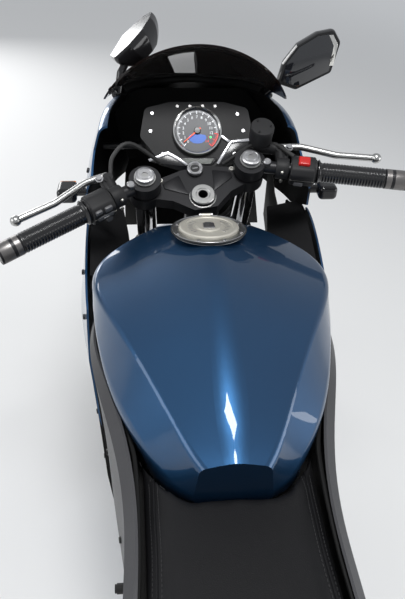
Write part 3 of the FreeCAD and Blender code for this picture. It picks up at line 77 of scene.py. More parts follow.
def variation_group():
    """Colour, gloss and height that change over a surface: broad clouds over a fine grain."""
    group = bpy.data.node_groups.new("surface_variation", "ShaderNodeTree")
    for name, kind, value in (("Color", "NodeSocketColor", (0.5, 0.5, 0.5, 1)),
                              ("Second Color", "NodeSocketColor", (0.4, 0.4, 0.4, 1)),
                              ("Cloud Scale", "NodeSocketFloat", 5.0),
                              ("Grain Scale", "NodeSocketFloat", 600.0),
                              ("Roughness Low", "NodeSocketFloat", 0.3),
                              ("Roughness High", "NodeSocketFloat", 0.5)):
        socket = group.interface.new_socket(name=name, in_out="INPUT", socket_type=kind)
        socket.default_value = value
    for name, kind in (("Color", "NodeSocketColor"), ("Roughness", "NodeSocketFloat"),
                       ("Height", "NodeSocketFloat")):
        group.interface.new_socket(name=name, in_out="OUTPUT", socket_type=kind)
    nodes, links = group.nodes, group.links
    given, out = nodes.new("NodeGroupInput"), nodes.new("NodeGroupOutput")
    place = nodes.new("ShaderNodeTexCoord")
    clouds, grain = nodes.new("ShaderNodeTexNoise"), nodes.new("ShaderNodeTexNoise")
    clouds.inputs["Detail"].default_value = 4
    grain.inputs["Detail"].default_value = 3
    links.new(place.outputs["Object"], clouds.inputs["Vector"])
    links.new(place.outputs["Object"], grain.inputs["Vector"])
    links.new(given.outputs["Cloud Scale"], clouds.inputs["Scale"])
    links.new(given.outputs["Grain Scale"], grain.inputs["Scale"])
    both = nodes.new("ShaderNodeMath")
    both.operation = "MULTIPLY_ADD"
    both.inputs[1].default_value = GRAIN_SHARE
    links.new(grain.outputs["Fac"], both.inputs[0])
    soft = nodes.new("ShaderNodeMath")
    soft.operation = "MULTIPLY"
    soft.inputs[1].default_value = 1 - GRAIN_SHARE
    links.new(clouds.outputs["Fac"], soft.inputs[0])
    links.new(soft.outputs[0], both.inputs[2])
    spread = nodes.new("ShaderNodeMapRange")
    spread.inputs["From Min"].default_value = CLOUD_RANGE[0]
    spread.inputs["From Max"].default_value = CLOUD_RANGE[1]
    links.new(both.outputs[0], spread.inputs["Value"])
    colour = nodes.new("ShaderNodeMix")
    colour.data_type = "RGBA"
    links.new(spread.outputs["Result"], colour.inputs["Factor"])
    links.new(given.outputs["Color"], colour.inputs[6])
    links.new(given.outputs["Second Color"], colour.inputs[7])
    gloss = nodes.new("ShaderNodeMapRange")
    links.new(both.outputs[0], gloss.inputs["Value"])
    gloss.inputs["From Min"].default_value = GLOSS_RANGE[0]
    gloss.inputs["From Max"].default_value = GLOSS_RANGE[1]
    links.new(given.outputs["Roughness Low"], gloss.inputs["To Min"])
    links.new(given.outputs["Roughness High"], gloss.inputs["To Max"])
    links.new(colour.outputs[2], out.inputs["Color"])
    links.new(gloss.outputs["Result"], out.inputs["Roughness"])
    links.new(grain.outputs["Fac"], out.inputs["Height"])
    return group


variation = variation_group()


def finish(name, colour, second=None, roughness=(0.3, 0.45), clouds=6.0, grain=700.0, bump=0.0, **shader):
    """Principled material whose colour, gloss and fine relief vary; other sockets by their names."""
    material = bpy.data.materials.new(name)
    material.use_nodes = True
    nodes, links = material.node_tree.nodes, material.node_tree.links
    principled = nodes["Principled BSDF"]
    change = nodes.new("ShaderNodeGroup")
    change.node_tree = variation
    second = second or tuple(channel * 0.72 for channel in colour)
    for socket, value in (("Color", (*colour, 1)), ("Second Color", (*second, 1)), ("Cloud Scale", clouds),
                          ("Grain Scale", grain), ("Roughness Low", roughness[0]),
                          ("Roughness High", roughness[1])):
        change.inputs[socket].default_value = value
    links.new(change.outputs["Color"], principled.inputs["Base Color"])
    links.new(change.outputs["Roughness"], principled.inputs["Roughness"])
    if bump:
        relief = nodes.new("ShaderNodeBump")
        relief.inputs["Strength"].default_value = 0.6
        relief.inputs["Distance"].default_value = bump
        links.new(change.outputs["Height"], relief.inputs["Height"])
        links.new(relief.outputs["Normal"], principled.inputs["Normal"])
    for socket, value in shader.items():
        principled.inputs[socket.replace("_", " ")].default_value = value
    return material


def clad(material, *names):
    """Give CAD nodes their finish."""
    for name in names:
        item = frame["nodes"][name]
        item.data.materials.clear()
        item.data.materials.append(material)


def made(name, mesh, material, body, place=chassis_mm, sharp=38):
    """Bake a shape modelled in millimetres into a finished piece that rides on a body."""
    bmesh.ops.recalc_face_normals(mesh, faces=mesh.faces)
    mesh.transform(place)
    data = bpy.data.meshes.new(name)
    mesh.to_mesh(data)
    mesh.free()
    data.materials.append(material)
    data.shade_smooth()
    data.set_sharp_from_angle(angle=math.radians(sharp))
    item = bpy.data.objects.new(name, data)
    bpy.context.scene.collection.objects.link(item)
    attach(item, body)
    return item


def along(start, direction):
    """Matrix whose z axis leaves a point in a direction."""
    return Matrix.Translation(start) @ Vector(direction).to_track_quat("Z", "Y").to_matrix().to_4x4()


def rod(mesh, start, finish_point, radius, tip=None, sides=24):
    """Round bar, or a taper, from one point to another."""
    start, end = Vector(start), Vector(finish_point)
    run = end - start
    return bmesh.ops.create_cone(mesh, cap_ends=True, segments=sides, radius1=radius,
                                 radius2=radius if tip is None else tip, depth=run.length,
                                 matrix=along((start + end) / 2, run))["verts"]


def screw(mesh, start, direction, radius, sides=16):
    """Button-head screw with a driver recess, standing on a surface."""
    direction = Vector(direction).normalized()
    tall = radius * 0.55
    sunk, crown = Vector(start) - direction * 0.5, Vector(start) + direction * tall
    verts = rod(mesh, sunk, crown, radius, radius * 0.84, sides)
    faces = {face for vert in verts for face in vert.link_faces}
    top = max(faces, key=lambda face: face.calc_center_median().dot(direction))
    top.normal_update()
    bmesh.ops.inset_individual(mesh, faces=[top], thickness=radius * 0.36, depth=0)
    bmesh.ops.inset_individual(mesh, faces=[top], thickness=radius * 0.03, depth=-tall * 0.7)


def hexagon(mesh, start, direction, radius, height):
    """Hexagon bolt head or nut with a washer under it."""
    start, direction = Vector(start), Vector(direction).normalized()
    washer_top = start + direction * height * 0.2
    rod(mesh, start, washer_top, radius * 1.25, sides=24)
    rod(mesh, washer_top, start + direction * height, radius, radius * 0.94, 6)


def pipe(mesh, points, radius, sides=10):
    """Round line through the points, each length drawn out of the ring before it."""
    points = [Vector(point) for point in points]
    heading = (points[1] - points[0]).normalized()
    ring = bmesh.ops.create_circle(mesh, cap_ends=True, segments=sides, radius=radius,
                                   matrix=along(points[0], heading))["verts"]
    face = ring[0].link_faces[0]
    for number in range(1, len(points)):
        after = points[min(number + 1, len(points) - 1)] - points[number]
        before = points[number] - points[number - 1]
        way = before.normalized()
        if after.length:
            way = (way + after.normalized()).normalized()
        grown = bmesh.ops.extrude_face_region(mesh, geom=[face])["geom"]
        if number > 1:
            bmesh.ops.delete(mesh, geom=[face], context="FACES_ONLY")
        verts = [item for item in grown if isinstance(item, bmesh.types.BMVert)]
        face = [item for item in grown if isinstance(item, bmesh.types.BMFace)][0]
        turn = heading.rotation_difference(way).to_matrix().to_4x4()
        bmesh.ops.translate(mesh, vec=before, verts=verts)
        about = Matrix.Translation(points[number]) @ turn @ Matrix.Translation(-points[number])
        bmesh.ops.transform(mesh, matrix=about, verts=verts)
        heading = way


def eased(points, steps=6):
    """Points of a smooth line through the given ones."""
    points = [Vector(point) for point in points]
    ends = [points[0] * 2 - points[1]] + points + [points[-1] * 2 - points[-2]]
    line = []
    for a, b, c, d in zip(ends, ends[1:], ends[2:], ends[3:]):
        for step in range(steps):
            t = step / steps
            line.append(0.5 * (2 * b + (c - a) * t + (2 * a - 5 * b + 4 * c - d) * t * t
                               + (3 * b - a - 3 * c + d) * t ** 3))
    return line + [points[-1]]


black_enamel = finish("black_enamel", (0.02, 0.02, 0.022), roughness=(0.28, 0.42), Coat_Weight=0.3)
clad(black_enamel, "frame", "swingarm")

ground_steel = finish("ground_steel", (0.42, 0.42, 0.42), roughness=(0.25, 0.4), Metallic=1.0)
zinc_steel = finish("zinc_steel", (0.5, 0.49, 0.46), (0.38, 0.37, 0.34), roughness=(0.3, 0.5), Metallic=1.0)
frame_bolts = bmesh.new()
for side in (1, -1):
    hexagon(frame_bolts, (-150, side * 118, 390), (0, side, 0), 15, 9)
    hexagon(frame_bolts, (232, side * 100, 520), (0, side, 0), 9, 7)
    for x, z in ((-150, 590), (-150, 312), (-176, 520)):
        hexagon(frame_bolts, (x, side * 112, z), (0, side, 0), 8, 6)
    rod(frame_bolts, (-560, side * 79, 759), (-560, side * 88, 759), 9)
made("frame_bolts", frame_bolts, zinc_steel, "chassis")

# Engine: cast aluminium cases round two cylinders, with round machined covers held by a ring of
# screws. The side covers are cast thinner and bead blasted.
cast_aluminium = finish("cast_aluminium", (0.3, 0.3, 0.3), roughness=(0.42, 0.6), bump=0.0004, Metallic=0.9)
clad(cast_aluminium, "engine", "front_caliper", "rear_caliper")


def turned(mesh, place, profile, steps=48):
    """Surface of a profile of (radius, height) turned round a place's z axis."""
    verts = [mesh.verts.new(place @ Vector((radius, 0, height))) for radius, height in profile]
    edges = [mesh.edges.new(pair) for pair in zip(verts, verts[1:])]
    bmesh.ops.spin(mesh, geom=verts + edges, cent=place.translation,
                   axis=place.to_3x3() @ Vector((0, 0, 1)), dvec=(0, 0, 0), angle=2 * math.pi, steps=steps,
                   use_merge=True)
    bmesh.ops.remove_doubles(mesh, verts=mesh.verts, dist=0.002)


def lathe(mesh, start, direction, profile, steps=48):
    """Closed turned shape, from a profile of (radius, place along the axis).

    A profile that stays off the axis closes on itself as a ring, any other is capped down to the axis.
    """
    profile = list(profile)
    if profile[0][0] and profile[-1][0]:
        profile.append(profile[0])
    elif profile[-1][0]:
        profile.append((0, profile[-1][1]))
    elif profile[0][0]:
        profile.insert(0, (0, profile[0][1]))
    turned(mesh, along(start, direction), profile, steps)


dark_cast = finish("dark_cast", (0.07, 0.07, 0.072), roughness=(0.4, 0.55), bump=0.0004, Metallic=0.8)
CLUTCH, GENERATOR = (60, -126, 330), (120, 124, 322)
covers = bmesh.new()
lathe(covers, CLUTCH, (0, -1, 0), ((0, 12), (40, 12), (48, 9), (52, 4), (70, 4), (74, 0), (74, -4)))
lathe(covers, GENERATOR, (0, 1, 0), ((0, 10), (30, 10), (36, 6), (56, 5), (60, 0), (60, -4)))
made("engine_covers", covers, dark_cast, "chassis")
cover_screws = bmesh.new()
for (x, y, z), ring, side in ((CLUTCH, 62, -1), (GENERATOR, 50, 1)):
    for number in range(8):
        angle = math.radians(number * 45 + 12)
        spot = (x + ring * math.cos(angle), y + side * 4.5, z + ring * math.sin(angle))
        screw(cover_screws, spot, (0, side, 0), 5)
for side in (1, -1):
    for x, z in ((66, 476), (250, 430), (136, 626), (246, 580), (200, 392), (-8, 300), (-8, 440)):
        screw(cover_screws, (x, side * (82 if z > 470 else 102), z), (0, side, 0), 5)
made("cover_screws", cover_screws, zinc_steel, "chassis")


def slab(mesh, outline, low, high, place=Matrix(), bevel=0.0, segments=2):
    """Plate from an outline between two heights of a place, its edges rounded."""
    verts = [mesh.verts.new(place @ Vector((x, y, low))) for x, y in outline]
    face = mesh.faces.new(verts)
    grown = bmesh.ops.extrude_face_region(mesh, geom=[face])["geom"]
    risen = [item for item in grown if isinstance(item, bmesh.types.BMVert)]
    bmesh.ops.translate(mesh, vec=place.to_3x3() @ Vector((0, 0, high - low)), verts=risen)
    if bevel:
        edges = {edge for vert in verts + risen for edge in vert.link_edges}
        bmesh.ops.bevel(mesh, geom=list(edges), offset=bevel, offset_type="OFFSET", segments=segments,
                        profile=0.5, affect="EDGES", material=-1, clamp_overlap=True)


def brick(mesh, low, high, bevel=0.0, segments=2, place=Matrix()):
    """Box between two corners of a place, its edges rounded."""
    outline = ((low[0], low[1]), (high[0], low[1]), (high[0], high[1]), (low[0], high[1]))
    slab(mesh, outline, low[2], high[2], place, bevel, segments)


fins = bmesh.new()
CYLINDER_FOOT, CYLINDER_WAY = Vector((150, 0, 505)), Vector((0.45, 0, 0.89))
for number in range(7):
    centre = CYLINDER_FOOT + CYLINDER_WAY * (number * 13)
    place = Matrix.Translation(centre) @ Matrix.Rotation(math.radians(24), 4, "Y")
    brick(fins, (-78, -86, -2), (78, 86, 2), 1.2, 1, place)
made("cylinder_ribs", fins, cast_aluminium, "chassis")
rubber_hose = finish("rubber_hose", (0.018, 0.018, 0.018), roughness=(0.55, 0.7))
hoses = bmesh.new()
pipe(hoses, eased(((359, 104, 628), (330, 106, 660), (270, 96, 640), (238, 84, 600))), 13, 14)
pipe(hoses, eased(((359, -120, 440), (330, -122, 410), (280, -116, 380), (216, -98, 360))), 13, 14)
made("coolant_hoses", hoses, rubber_hose, "chassis")

# Radiator: a black core of thin fins brazed between two side tanks, with a pressed steel cap on its
# neck. It hangs behind the front wheel on the frame's front tubes.
black_alloy = finish("black_alloy", (0.015, 0.015, 0.017), roughness=(0.34, 0.46), bump=0.00015,
                     Metallic=0.3, Specular_IOR_Level=0.4)
clad(black_alloy, "front_rim", "rear_rim", "fork_yokes", "clip_on_bars", "radiator", "foot_controls")
FIN_PITCH, ROW_PITCH = 4.85, 20.2
core_fins = bmesh.new()
for number in range(44):
    z = 424 + number * FIN_PITCH
    brick(core_fins, (344, -116, z), (374, 116, z + 1.2))
for number in range(12):
    y = -112 + number * ROW_PITCH
    brick(core_fins, (345, y, 422), (373.4, y + 2.4, 638))
made("radiator_fins", core_fins, dark_cast, "chassis")
cap = bmesh.new()
lathe(cap, (359, -104, 664), (0, 0, 1), ((0, 9), (10, 9), (19, 5), (21, 1), (21, -4), (17, -5)), 32)
for side in (1, -1):
    brick(cap, (352, -104 + side * 18 - 6, 665), (366, -104 + side * 18 + 6, 668), 1)
made("radiator_cap", cap, zinc_steel, "chassis")

# Exhaust: welded stainless pipes into a muffler with three pressed bands, riveted near its ends, and
# a turned ring in its outlet. Flanges with two nuts each hold the pipes to the engine.
exhaust_steel = finish("exhaust_steel", (0.5, 0.46, 0.42), (0.36, 0.3, 0.26), roughness=(0.25, 0.4),
                       Metallic=1.0)
clad(exhaust_steel, "exhaust")
MUFFLER_LOW, MUFFLER_HIGH = Vector((-318, -168.4, 308)), Vector((-760, -204, 480))
MUFFLER_WAY = (MUFFLER_HIGH - MUFFLER_LOW).normalized()
muffler_fittings = bmesh.new()
for start, width in ((52, 16), (236, 26), (420, 18)):
    lathe(muffler_fittings, MUFFLER_LOW + MUFFLER_WAY * start, MUFFLER_WAY,
          ((54, 0), (55.6, 0.6), (55.6, width - 0.6), (54, width)), 56)
lathe(muffler_fittings, MUFFLER_LOW + MUFFLER_WAY * 455, MUFFLER_WAY,
      ((23.6, 18), (27, 18), (27, 11), (23.6, 11)), 40)
made("muffler_fittings", muffler_fittings, black_alloy, "chassis")
rivets = bmesh.new()
side_way = MUFFLER_WAY.cross(Vector((0, 0, 1))).normalized()
up_way = side_way.cross(MUFFLER_WAY)
for start in (60, 429):
    for number in range(10):
        angle = math.radians(number * 36)
        out = side_way * math.cos(angle) + up_way * math.sin(angle)
        screw(rivets, MUFFLER_LOW + MUFFLER_WAY * start + out * 55.4, out, 3.4, 10)
made("muffler_rivets", rivets, zinc_steel, "chassis")
PORT_Y, STUD_REACH = 36, 25
header_flanges = bmesh.new()
for side in (1, -1):
    brick(header_flanges, (252, side * PORT_Y - 32, 541), (262, side * PORT_Y + 32, 575), 4)
    for other in (1, -1):
        hexagon(header_flanges, (262, side * PORT_Y + other * STUD_REACH, 558), (1, 0, 0), 6, 8)
made("header_flanges", header_flanges, zinc_steel, "chassis")

# Rear suspension and drive: a coil spring over the damper, a roller chain of plates and pins round
# both sprockets, bolted sprocket and disc.
clad(ground_steel, "front_disc", "rear_disc", "rear_sprocket", "rear_shock", "side_stand", "drive_chain")
spring_enamel = finish("spring_enamel", (0.05, 0.05, 0.055), roughness=(0.25, 0.35), Coat_Weight=0.6)
coil = bmesh.new()
shock_low, shock_high = Vector((-234, 0, 410)), Vector((-148, 0, 576))
shock_way = (shock_high - shock_low).normalized()
across = Vector((0, 1, 0))
third = shock_way.cross(across)
COIL_TURNS, COIL_STEPS, COIL_RADIUS = 6.5, 22, 32
COIL_FOOT, COIL_LENGTH = 28, 128
coil_points = []
for number in range(int(COIL_TURNS * COIL_STEPS) + 1):
    angle = 2 * math.pi * number / COIL_STEPS
    coil_points.append(shock_low + shock_way * (COIL_FOOT + COIL_LENGTH * number / (COIL_TURNS * COIL_STEPS))
                       + (across * math.cos(angle) + third * math.sin(angle)) * COIL_RADIUS)
pipe(coil, coil_points, 5, 8)
made("shock_spring", coil, spring_enamel, "chassis")

oiled_steel = finish("oiled_steel", (0.2, 0.17, 0.12), (0.1, 0.085, 0.06), roughness=(0.35, 0.55),
                     Metallic=0.9)
CHAIN_PITCH, CHAIN_Y = 15.875, 85
GEARBOX, REAR_HUB = Vector((-75, CHAIN_Y, 400)), Vector((-685, CHAIN_Y, 314))
SMALL_TEETH, LARGE_TEETH = 14, 38
small_radius, large_radius = (CHAIN_PITCH / 2 / math.sin(math.pi / teeth)
                              for teeth in (SMALL_TEETH, LARGE_TEETH))
drive_line = GEARBOX - REAR_HUB
tilt = math.atan2(drive_line.z, drive_line.x)
lap = math.acos((large_radius - small_radius) / drive_line.length)


def chain_spots():
    """Evenly spaced pin centres round the chain's loop."""
    def spot(centre, radius, angle):
        """Spot on a sprocket's pitch circle."""
        return centre + Vector((math.cos(angle), 0, math.sin(angle))) * radius

    far_lap = 2 * math.pi - 2 * lap
    track = [spot(GEARBOX, small_radius, tilt + lap - lap * 2 * step / 24) for step in range(25)]
    track += [spot(REAR_HUB, large_radius, tilt - lap - far_lap * step / 60) for step in range(61)]
    track.append(track[0])
    total = sum((b - a).length for a, b in zip(track, track[1:]))
    count = round(total / CHAIN_PITCH / 2) * 2
    spots, walked, number = [], 0.0, 0
    for a, b in zip(track, track[1:]):
        run = (b - a).length
        while number * total / count < walked + run and number < count:
            spots.append(a.lerp(b, (number * total / count - walked) / run))
            number += 1
        walked += run
    return spots


PLATE = [(-12, -3), (-9.5, -5.6), (-5, -5.6), (0, -4.1), (5, -5.6), (9.5, -5.6), (12, -3),
         (12, 3), (9.5, 5.6), (5, 5.6), (0, 4.1), (-5, 5.6), (-9.5, 5.6), (-12, 3)]
UPRIGHT = Matrix(((1, 0, 0, 0), (0, 0, 1, 0), (0, 1, 0, 0), (0, 0, 0, 1)))
chain = bmesh.new()
spots = chain_spots()
for number, here in enumerate(spots):
    there = spots[(number + 1) % len(spots)]
    middle, way = (here + there) / 2, there - here
    turn = Matrix.Translation(middle) @ Matrix.Rotation(-math.atan2(way.z, way.x), 4, "Y")
    outer = number % 2
    for side in (1, -1):
        y_low = side * (6.3 if outer else 4.3)
        slab(chain, PLATE, y_low, y_low + side * 1.7, turn @ UPRIGHT)
    rod(chain, here - Vector((0, 9, 0)), here + Vector((0, 9, 0)), 2.4, sides=8)
    rod(chain, here - Vector((0, 4, 0)), here + Vector((0, 4, 0)), 4.4, sides=10)
links = made("chain_links", chain, oiled_steel, "chassis")
small = bmesh.new()
TOOTH_TIP, TOOTH_ROOT = 1.5, -4.6
gear = []
for number in range(SMALL_TEETH * 4):
    radius = small_radius + (TOOTH_TIP if number % 4 in (1, 2) else TOOTH_ROOT)
    angle = 2 * math.pi * (number + 0.5) / SMALL_TEETH / 4
    gear.append((radius * math.cos(angle), radius * math.sin(angle)))
slab(small, gear, -3, 3, along(GEARBOX, (0, 1, 0)), 0.6, 1)
rod(small, GEARBOX - Vector((0, 20, 0)), GEARBOX + Vector((0, 9, 0)), 12)
made("front_sprocket", small, ground_steel, "chassis")
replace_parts(links, "drive_chain")
sprocket_bolts = bmesh.new()
for number in range(5):
    angle = math.radians(number * 72 + 36)
    spot = (45 * math.cos(angle), 88, 45 * math.sin(angle))
    hexagon(sprocket_bolts, spot, (0, 1, 0), 7, 7)
    hexagon(sprocket_bolts, (44 * math.cos(angle), -76.5, 44 * math.sin(angle)), (0, -1, 0), 6, 4)
made("rear_hub_bolts", sprocket_bolts, zinc_steel, "rear_wheel", rear_mm)
axle_fittings = bmesh.new()
for side in (1, -1):
    hexagon(axle_fittings, (-685, side * 134, 314), (0, side, 0), 14, 10)
    brick(axle_fittings, (-742, side * 111 - 11, 302), (-734, side * 111 + 11, 326), 1)
    hexagon(axle_fittings, (-742, side * 111, 314), (-1, 0, 0), 6, 8)
made("axle_fittings", axle_fittings, zinc_steel, "chassis")

# Wheels: cast black rims, road tyres with slanted grooves cut in the tread, drilled discs on bolted
# carriers, a valve in each rim. The discs' holes are drawn as black plugs, painted shade.
tyre_rubber = finish("tyre_rubber", (0.02, 0.02, 0.02), (0.028, 0.027, 0.026), roughness=(0.7, 0.85),
                     bump=0.0005)
TREAD_COLUMNS, TREAD_PITCH, TREAD_SWEEP = 216, 18, 11
COLUMN_ANGLE = math.radians(360 / TREAD_COLUMNS)
GROOVE_EDGE, GROOVE_WALL, GROOVE_DEPTH = 0.9, 0.5, 4


def road_tyre(name, node, radius, half, body, place):
    """Tyre turned from its profile, then grooved: the tread's faces are sheared into a V and sunk."""
    tyre = bmesh.new()
    shoulder, foot, neck, bead = radius - half * 0.44, 216.5, 231.0, half - 16.0
    side_middle = (foot + shoulder) / 2 + 4
    crown = ((half * 0.95) ** 2 + (half * 0.44) ** 2) / (2 * half * 0.44)
    profile = [(foot, -bead), (neck, -bead), (side_middle - 14, -half * 0.985), (side_middle + 6, -half),
               (shoulder - 6, -half * 0.975)]
    for number in range(-9, 10):
        across_place = half * 0.95 * number / 9
        profile.append((radius - crown + math.sqrt(crown * crown - across_place ** 2), across_place))
    profile += [(r, -across_place) for r, across_place in reversed(profile[:5])]
    profile += [(foot + 6, bead - 8), (shoulder - 10, half * 0.8), (radius - 9, 0),
                (shoulder - 10, -half * 0.8), (foot + 6, 8 - bead), (foot, -bead)]
    lathe(tyre, (0, 0, 0), (0, 1, 0), profile, TREAD_COLUMNS)
    for vert in tyre.verts:
        if Vector((vert.co.x, vert.co.z)).length > shoulder - 3:
            twist = COLUMN_ANGLE * abs(vert.co.y) / half * TREAD_SWEEP
            vert.co = Matrix.Rotation(twist, 3, "Y") @ vert.co
    grooves = []
    for face in tyre.faces:
        middle = face.calc_center_median()
        reach = Vector((middle.x, middle.z)).length
        if reach < shoulder - 2:
            continue
        share = middle.y / half
        angle = math.atan2(-middle.z, middle.x) - COLUMN_ANGLE * abs(share) * TREAD_SWEEP
        column = round(angle / COLUMN_ANGLE) % TREAD_PITCH
        long_groove = 0 if share > 0 else TREAD_PITCH // 2
        short_groove = (long_groove + TREAD_PITCH // 3) % TREAD_PITCH
        if 0.12 < abs(share) < 0.82 and column == long_groove:
            grooves.append(face)
        elif 0.45 < abs(share) < 0.93 and column == short_groove:
            grooves.append(face)
    bmesh.ops.recalc_face_normals(tyre, faces=tyre.faces)
    for thickness, depth in ((GROOVE_EDGE, 0), (GROOVE_WALL, -GROOVE_DEPTH)):
        bmesh.ops.inset_region(tyre, faces=grooves, thickness=thickness, depth=depth, use_even_offset=True,
                               use_boundary=True)
    item = made(name, tyre, tyre_rubber, body, place, 30)
    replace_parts(item, node)
    valve = bmesh.new()
    rod(valve, (-150, 6, 130), (-141, 6, 122), 4, 2.6, 10)
    made(f"{name}_valve", valve, zinc_steel, body, place)


road_tyre("front_tread", "front_tyre", 293, 55, "front_wheel", fork_mm)
road_tyre("rear_tread", "rear_tyre", 314, 70, "rear_wheel", rear_mm)
# Flat black that fills holes and recesses as painted shade, in place of their depth.
painted_shade_black = finish("painted_shade_black", (0.004, 0.004, 0.004), roughness=(0.8, 0.9))


def disc_holes(name, inner, outer, face_in, face_out, body, place):
    """Drilled holes of a disc's braking band, drawn as black plugs through both faces: painted shade, not
    open holes.
    """
    holes = bmesh.new()
    low, high = min(face_in, face_out) - 0.25, max(face_in, face_out) + 0.25
    for number in range(36):
        for row in range(2):
            reach = inner + (outer - inner) * (0.3 + 0.38 * row) + (number % 3) * 1.5
            angle = math.radians(number * 10 + row * 5)
            x, z = reach * math.cos(angle), reach * math.sin(angle)
            rod(holes, (x, low, z), (x, high, z), 3.2, sides=10)
    made(name, holes, painted_shade_black, body, place)


disc_holes("front_disc_holes", 116, 148, 56, 60.5, "front_wheel", fork_mm)
disc_holes("rear_disc_holes", 78, 110, -72, -76.5, "rear_wheel", rear_mm)
front_bolts = bmesh.new()
for number in range(5):
    angle = math.radians(number * 72 + 10)
    screw(front_bolts, (39 * math.cos(angle), 60.5, 39 * math.sin(angle)), (0, 1, 0), 6)
made("front_disc_bolts", front_bolts, zinc_steel, "front_wheel", fork_mm)
axle_nut = bmesh.new()
for side in (1, -1):
    hexagon(axle_nut, (0, side * 119, 0), (0, side, 0), 12, 8)
for z in (-6, 14):
    for side in (1, -1):
        screw(axle_nut, (18, side * 101, z - 8), (0.9, side * 0.4, 0), 4.5)
made("front_axle_nuts", axle_nut, zinc_steel, "steering", fork_mm)
caliper_trim = bmesh.new()
CALIPER = Matrix.Rotation(math.radians(-38), 4, "Y")
PISTON_PLUG = ((0, 2.4), (8, 2.4), (10, 1), (13, 1), (14, 0))
for x in (-15, 15):
    lathe(caliper_trim, CALIPER @ Vector((x, 92.4, 142)), (0, 1, 0), PISTON_PLUG, 28)
for x, z in ((-24, 114), (24, 114), (-24, 170), (24, 170)):
    hexagon(caliper_trim, CALIPER @ Vector((x, 92.2, z)), (0, 1, 0), 5, 6)
hexagon(caliper_trim, CALIPER @ Vector((0, 82, 176)), CALIPER.to_3x3() @ Vector((0, 0, 1)), 4.5, 9)
made("front_caliper_fittings", caliper_trim, zinc_steel, "steering", fork_mm)
rear_trim = bmesh.new()
for x, z in ((-622, 388), (-582, 388), (-622, 424), (-582, 424)):
    hexagon(rear_trim, (x, -96, z), (0, -1, 0), 5, 5)
made("rear_caliper_bolts", rear_trim, zinc_steel, "chassis")

# Fork: hard anodised aluminium sliders and chromed tubes with wiper seals, satin caps with a
# hexagon socket, a black top yoke with the stem's nut and the ignition lock let into it.
bright_alloy = finish("bright_alloy", (0.48, 0.48, 0.47), roughness=(0.26, 0.38), Metallic=1.0)
clad(bright_alloy, "fork_legs", "levers", "filler_ring")
polished = finish("polished_alloy", (0.78, 0.78, 0.77), roughness=(0.1, 0.2), Metallic=1.0)
satin_cap = finish("satin_cap", (0.5, 0.5, 0.51), roughness=(0.28, 0.38), Metallic=1.0)
OFFSET, LEG, YOKE_TOP = 37.7, 94, 690
STEM_TOP = (-OFFSET, 0, YOKE_TOP)
fork_caps = bmesh.new()
for side in (1, -1):
    lathe(fork_caps, (0, side * LEG, 728), (0, 0, 1),
          ((0, -1.4), (5.2, -1.4), (5.2, 1.6), (8.6, 1.6), (9.2, 0.8), (12.4, 0.8), (13.2, 1.6), (15.6, 1.2),
           (16.6, 0), (16.6, -8), (17.4, -8.6), (17.4, -10), (16, -10)))
made("fork_caps", fork_caps, satin_cap, "steering", fork_mm)
# The caps' hexagon sockets are thin black hexagons laid on the caps: painted shade in place of the recess.
cap_socket_shades = bmesh.new()
for side in (1, -1):
    rod(cap_socket_shades, (0, side * LEG, 727), (0, side * LEG, 727.4), 5, sides=6)
made("fork_cap_socket_shades", cap_socket_shades, painted_shade_black, "steering", fork_mm)
stem_nut = bmesh.new()
lathe(stem_nut, STEM_TOP, (0, 0, 1),
      ((23.5, 0), (23.5, 1.6), (21.4, 2), (21.2, 7.6), (19.6, 9.4), (12.6, 9.4), (11.4, 8.4), (8.6, 8.4),
       (8.6, -8)))
made("stem_nut", stem_nut, bright_alloy, "steering", fork_mm)
# The stem's bore is a thin black shell: painted shade in place of the hollow's depth.
stem_hollow_shade = bmesh.new()
lathe(stem_hollow_shade, STEM_TOP, (0, 0, 1),
      ((0, -40.4), (8.45, -40.4), (8.45, 8), (8.2, 8), (8.2, -40), (0, -40)), 32)
made("stem_hollow_shade", stem_hollow_shade, painted_shade_black, "steering", fork_mm)
lock_trim = bmesh.new()
LOCK = Vector((20, 0, 696))
lathe(lock_trim, LOCK, (0, 0, 1),
      ((13.7, -4), (14.3, -3), (14.3, 2.6), (13, 4), (10.6, 4), (9.8, 3), (9.8, 1.4), (0, 1.4)))
made("ignition_ring", lock_trim, satin_cap, "steering", fork_mm)
key_slot = bmesh.new()
rod(key_slot, LOCK + Vector((0, 0, 1.5)), LOCK + Vector((0, 0, 2.1)), 8.2, sides=32)
lock_black = finish("lock_black", (0.02, 0.02, 0.02), roughness=(0.3, 0.4))
made("ignition_face", key_slot, lock_black, "steering", fork_mm)
slot_mark = bmesh.new()
brick(slot_mark, LOCK + Vector((-1, -4.6, 2.1)), LOCK + Vector((1, 4.6, 2.4)))
made("ignition_slot", slot_mark, satin_cap, "steering", fork_mm)
yoke_parts = bmesh.new()
for side in (1, -1):
    screw(yoke_parts, (-24, side * 88, 678), (-0.95, -side * 0.3, 0), 5)
    screw(yoke_parts, (-22, side * 100, 706), (-0.95, side * 0.3, 0), 5)
    screw(yoke_parts, (10, side * (LEG - 29), YOKE_TOP), (0, 0, 1), 5.4)
    for z in (490, 503):
        screw(yoke_parts, (-26, side * 86, z), (-1, 0, 0), 5)
made("yoke_bolts", yoke_parts, zinc_steel, "steering", fork_mm)
YOKE_PAD = ((-30, 22), (-8, 62), (4, 62), (14, 34), (14, 30), (-14, 26))
yoke_web = bmesh.new()
for side in (1, -1):
    outline = [(x, side * y) for x, y in YOKE_PAD]
    slab(yoke_web, outline, YOKE_TOP - 0.5, YOKE_TOP + 2.2, Matrix(), 1.2)
made("yoke_pads", yoke_web, black_alloy, "steering", fork_mm)
seals = bmesh.new()
for side in (1, -1):
    lathe(seals, (0, side * LEG, 350), (0, 0, 1),
          ((25.2, -6), (27, -5), (27, 3), (25, 7), (21, 8), (20, 12), (18.6, 12)))
made("fork_wipers", seals, rubber_hose, "steering", fork_mm)
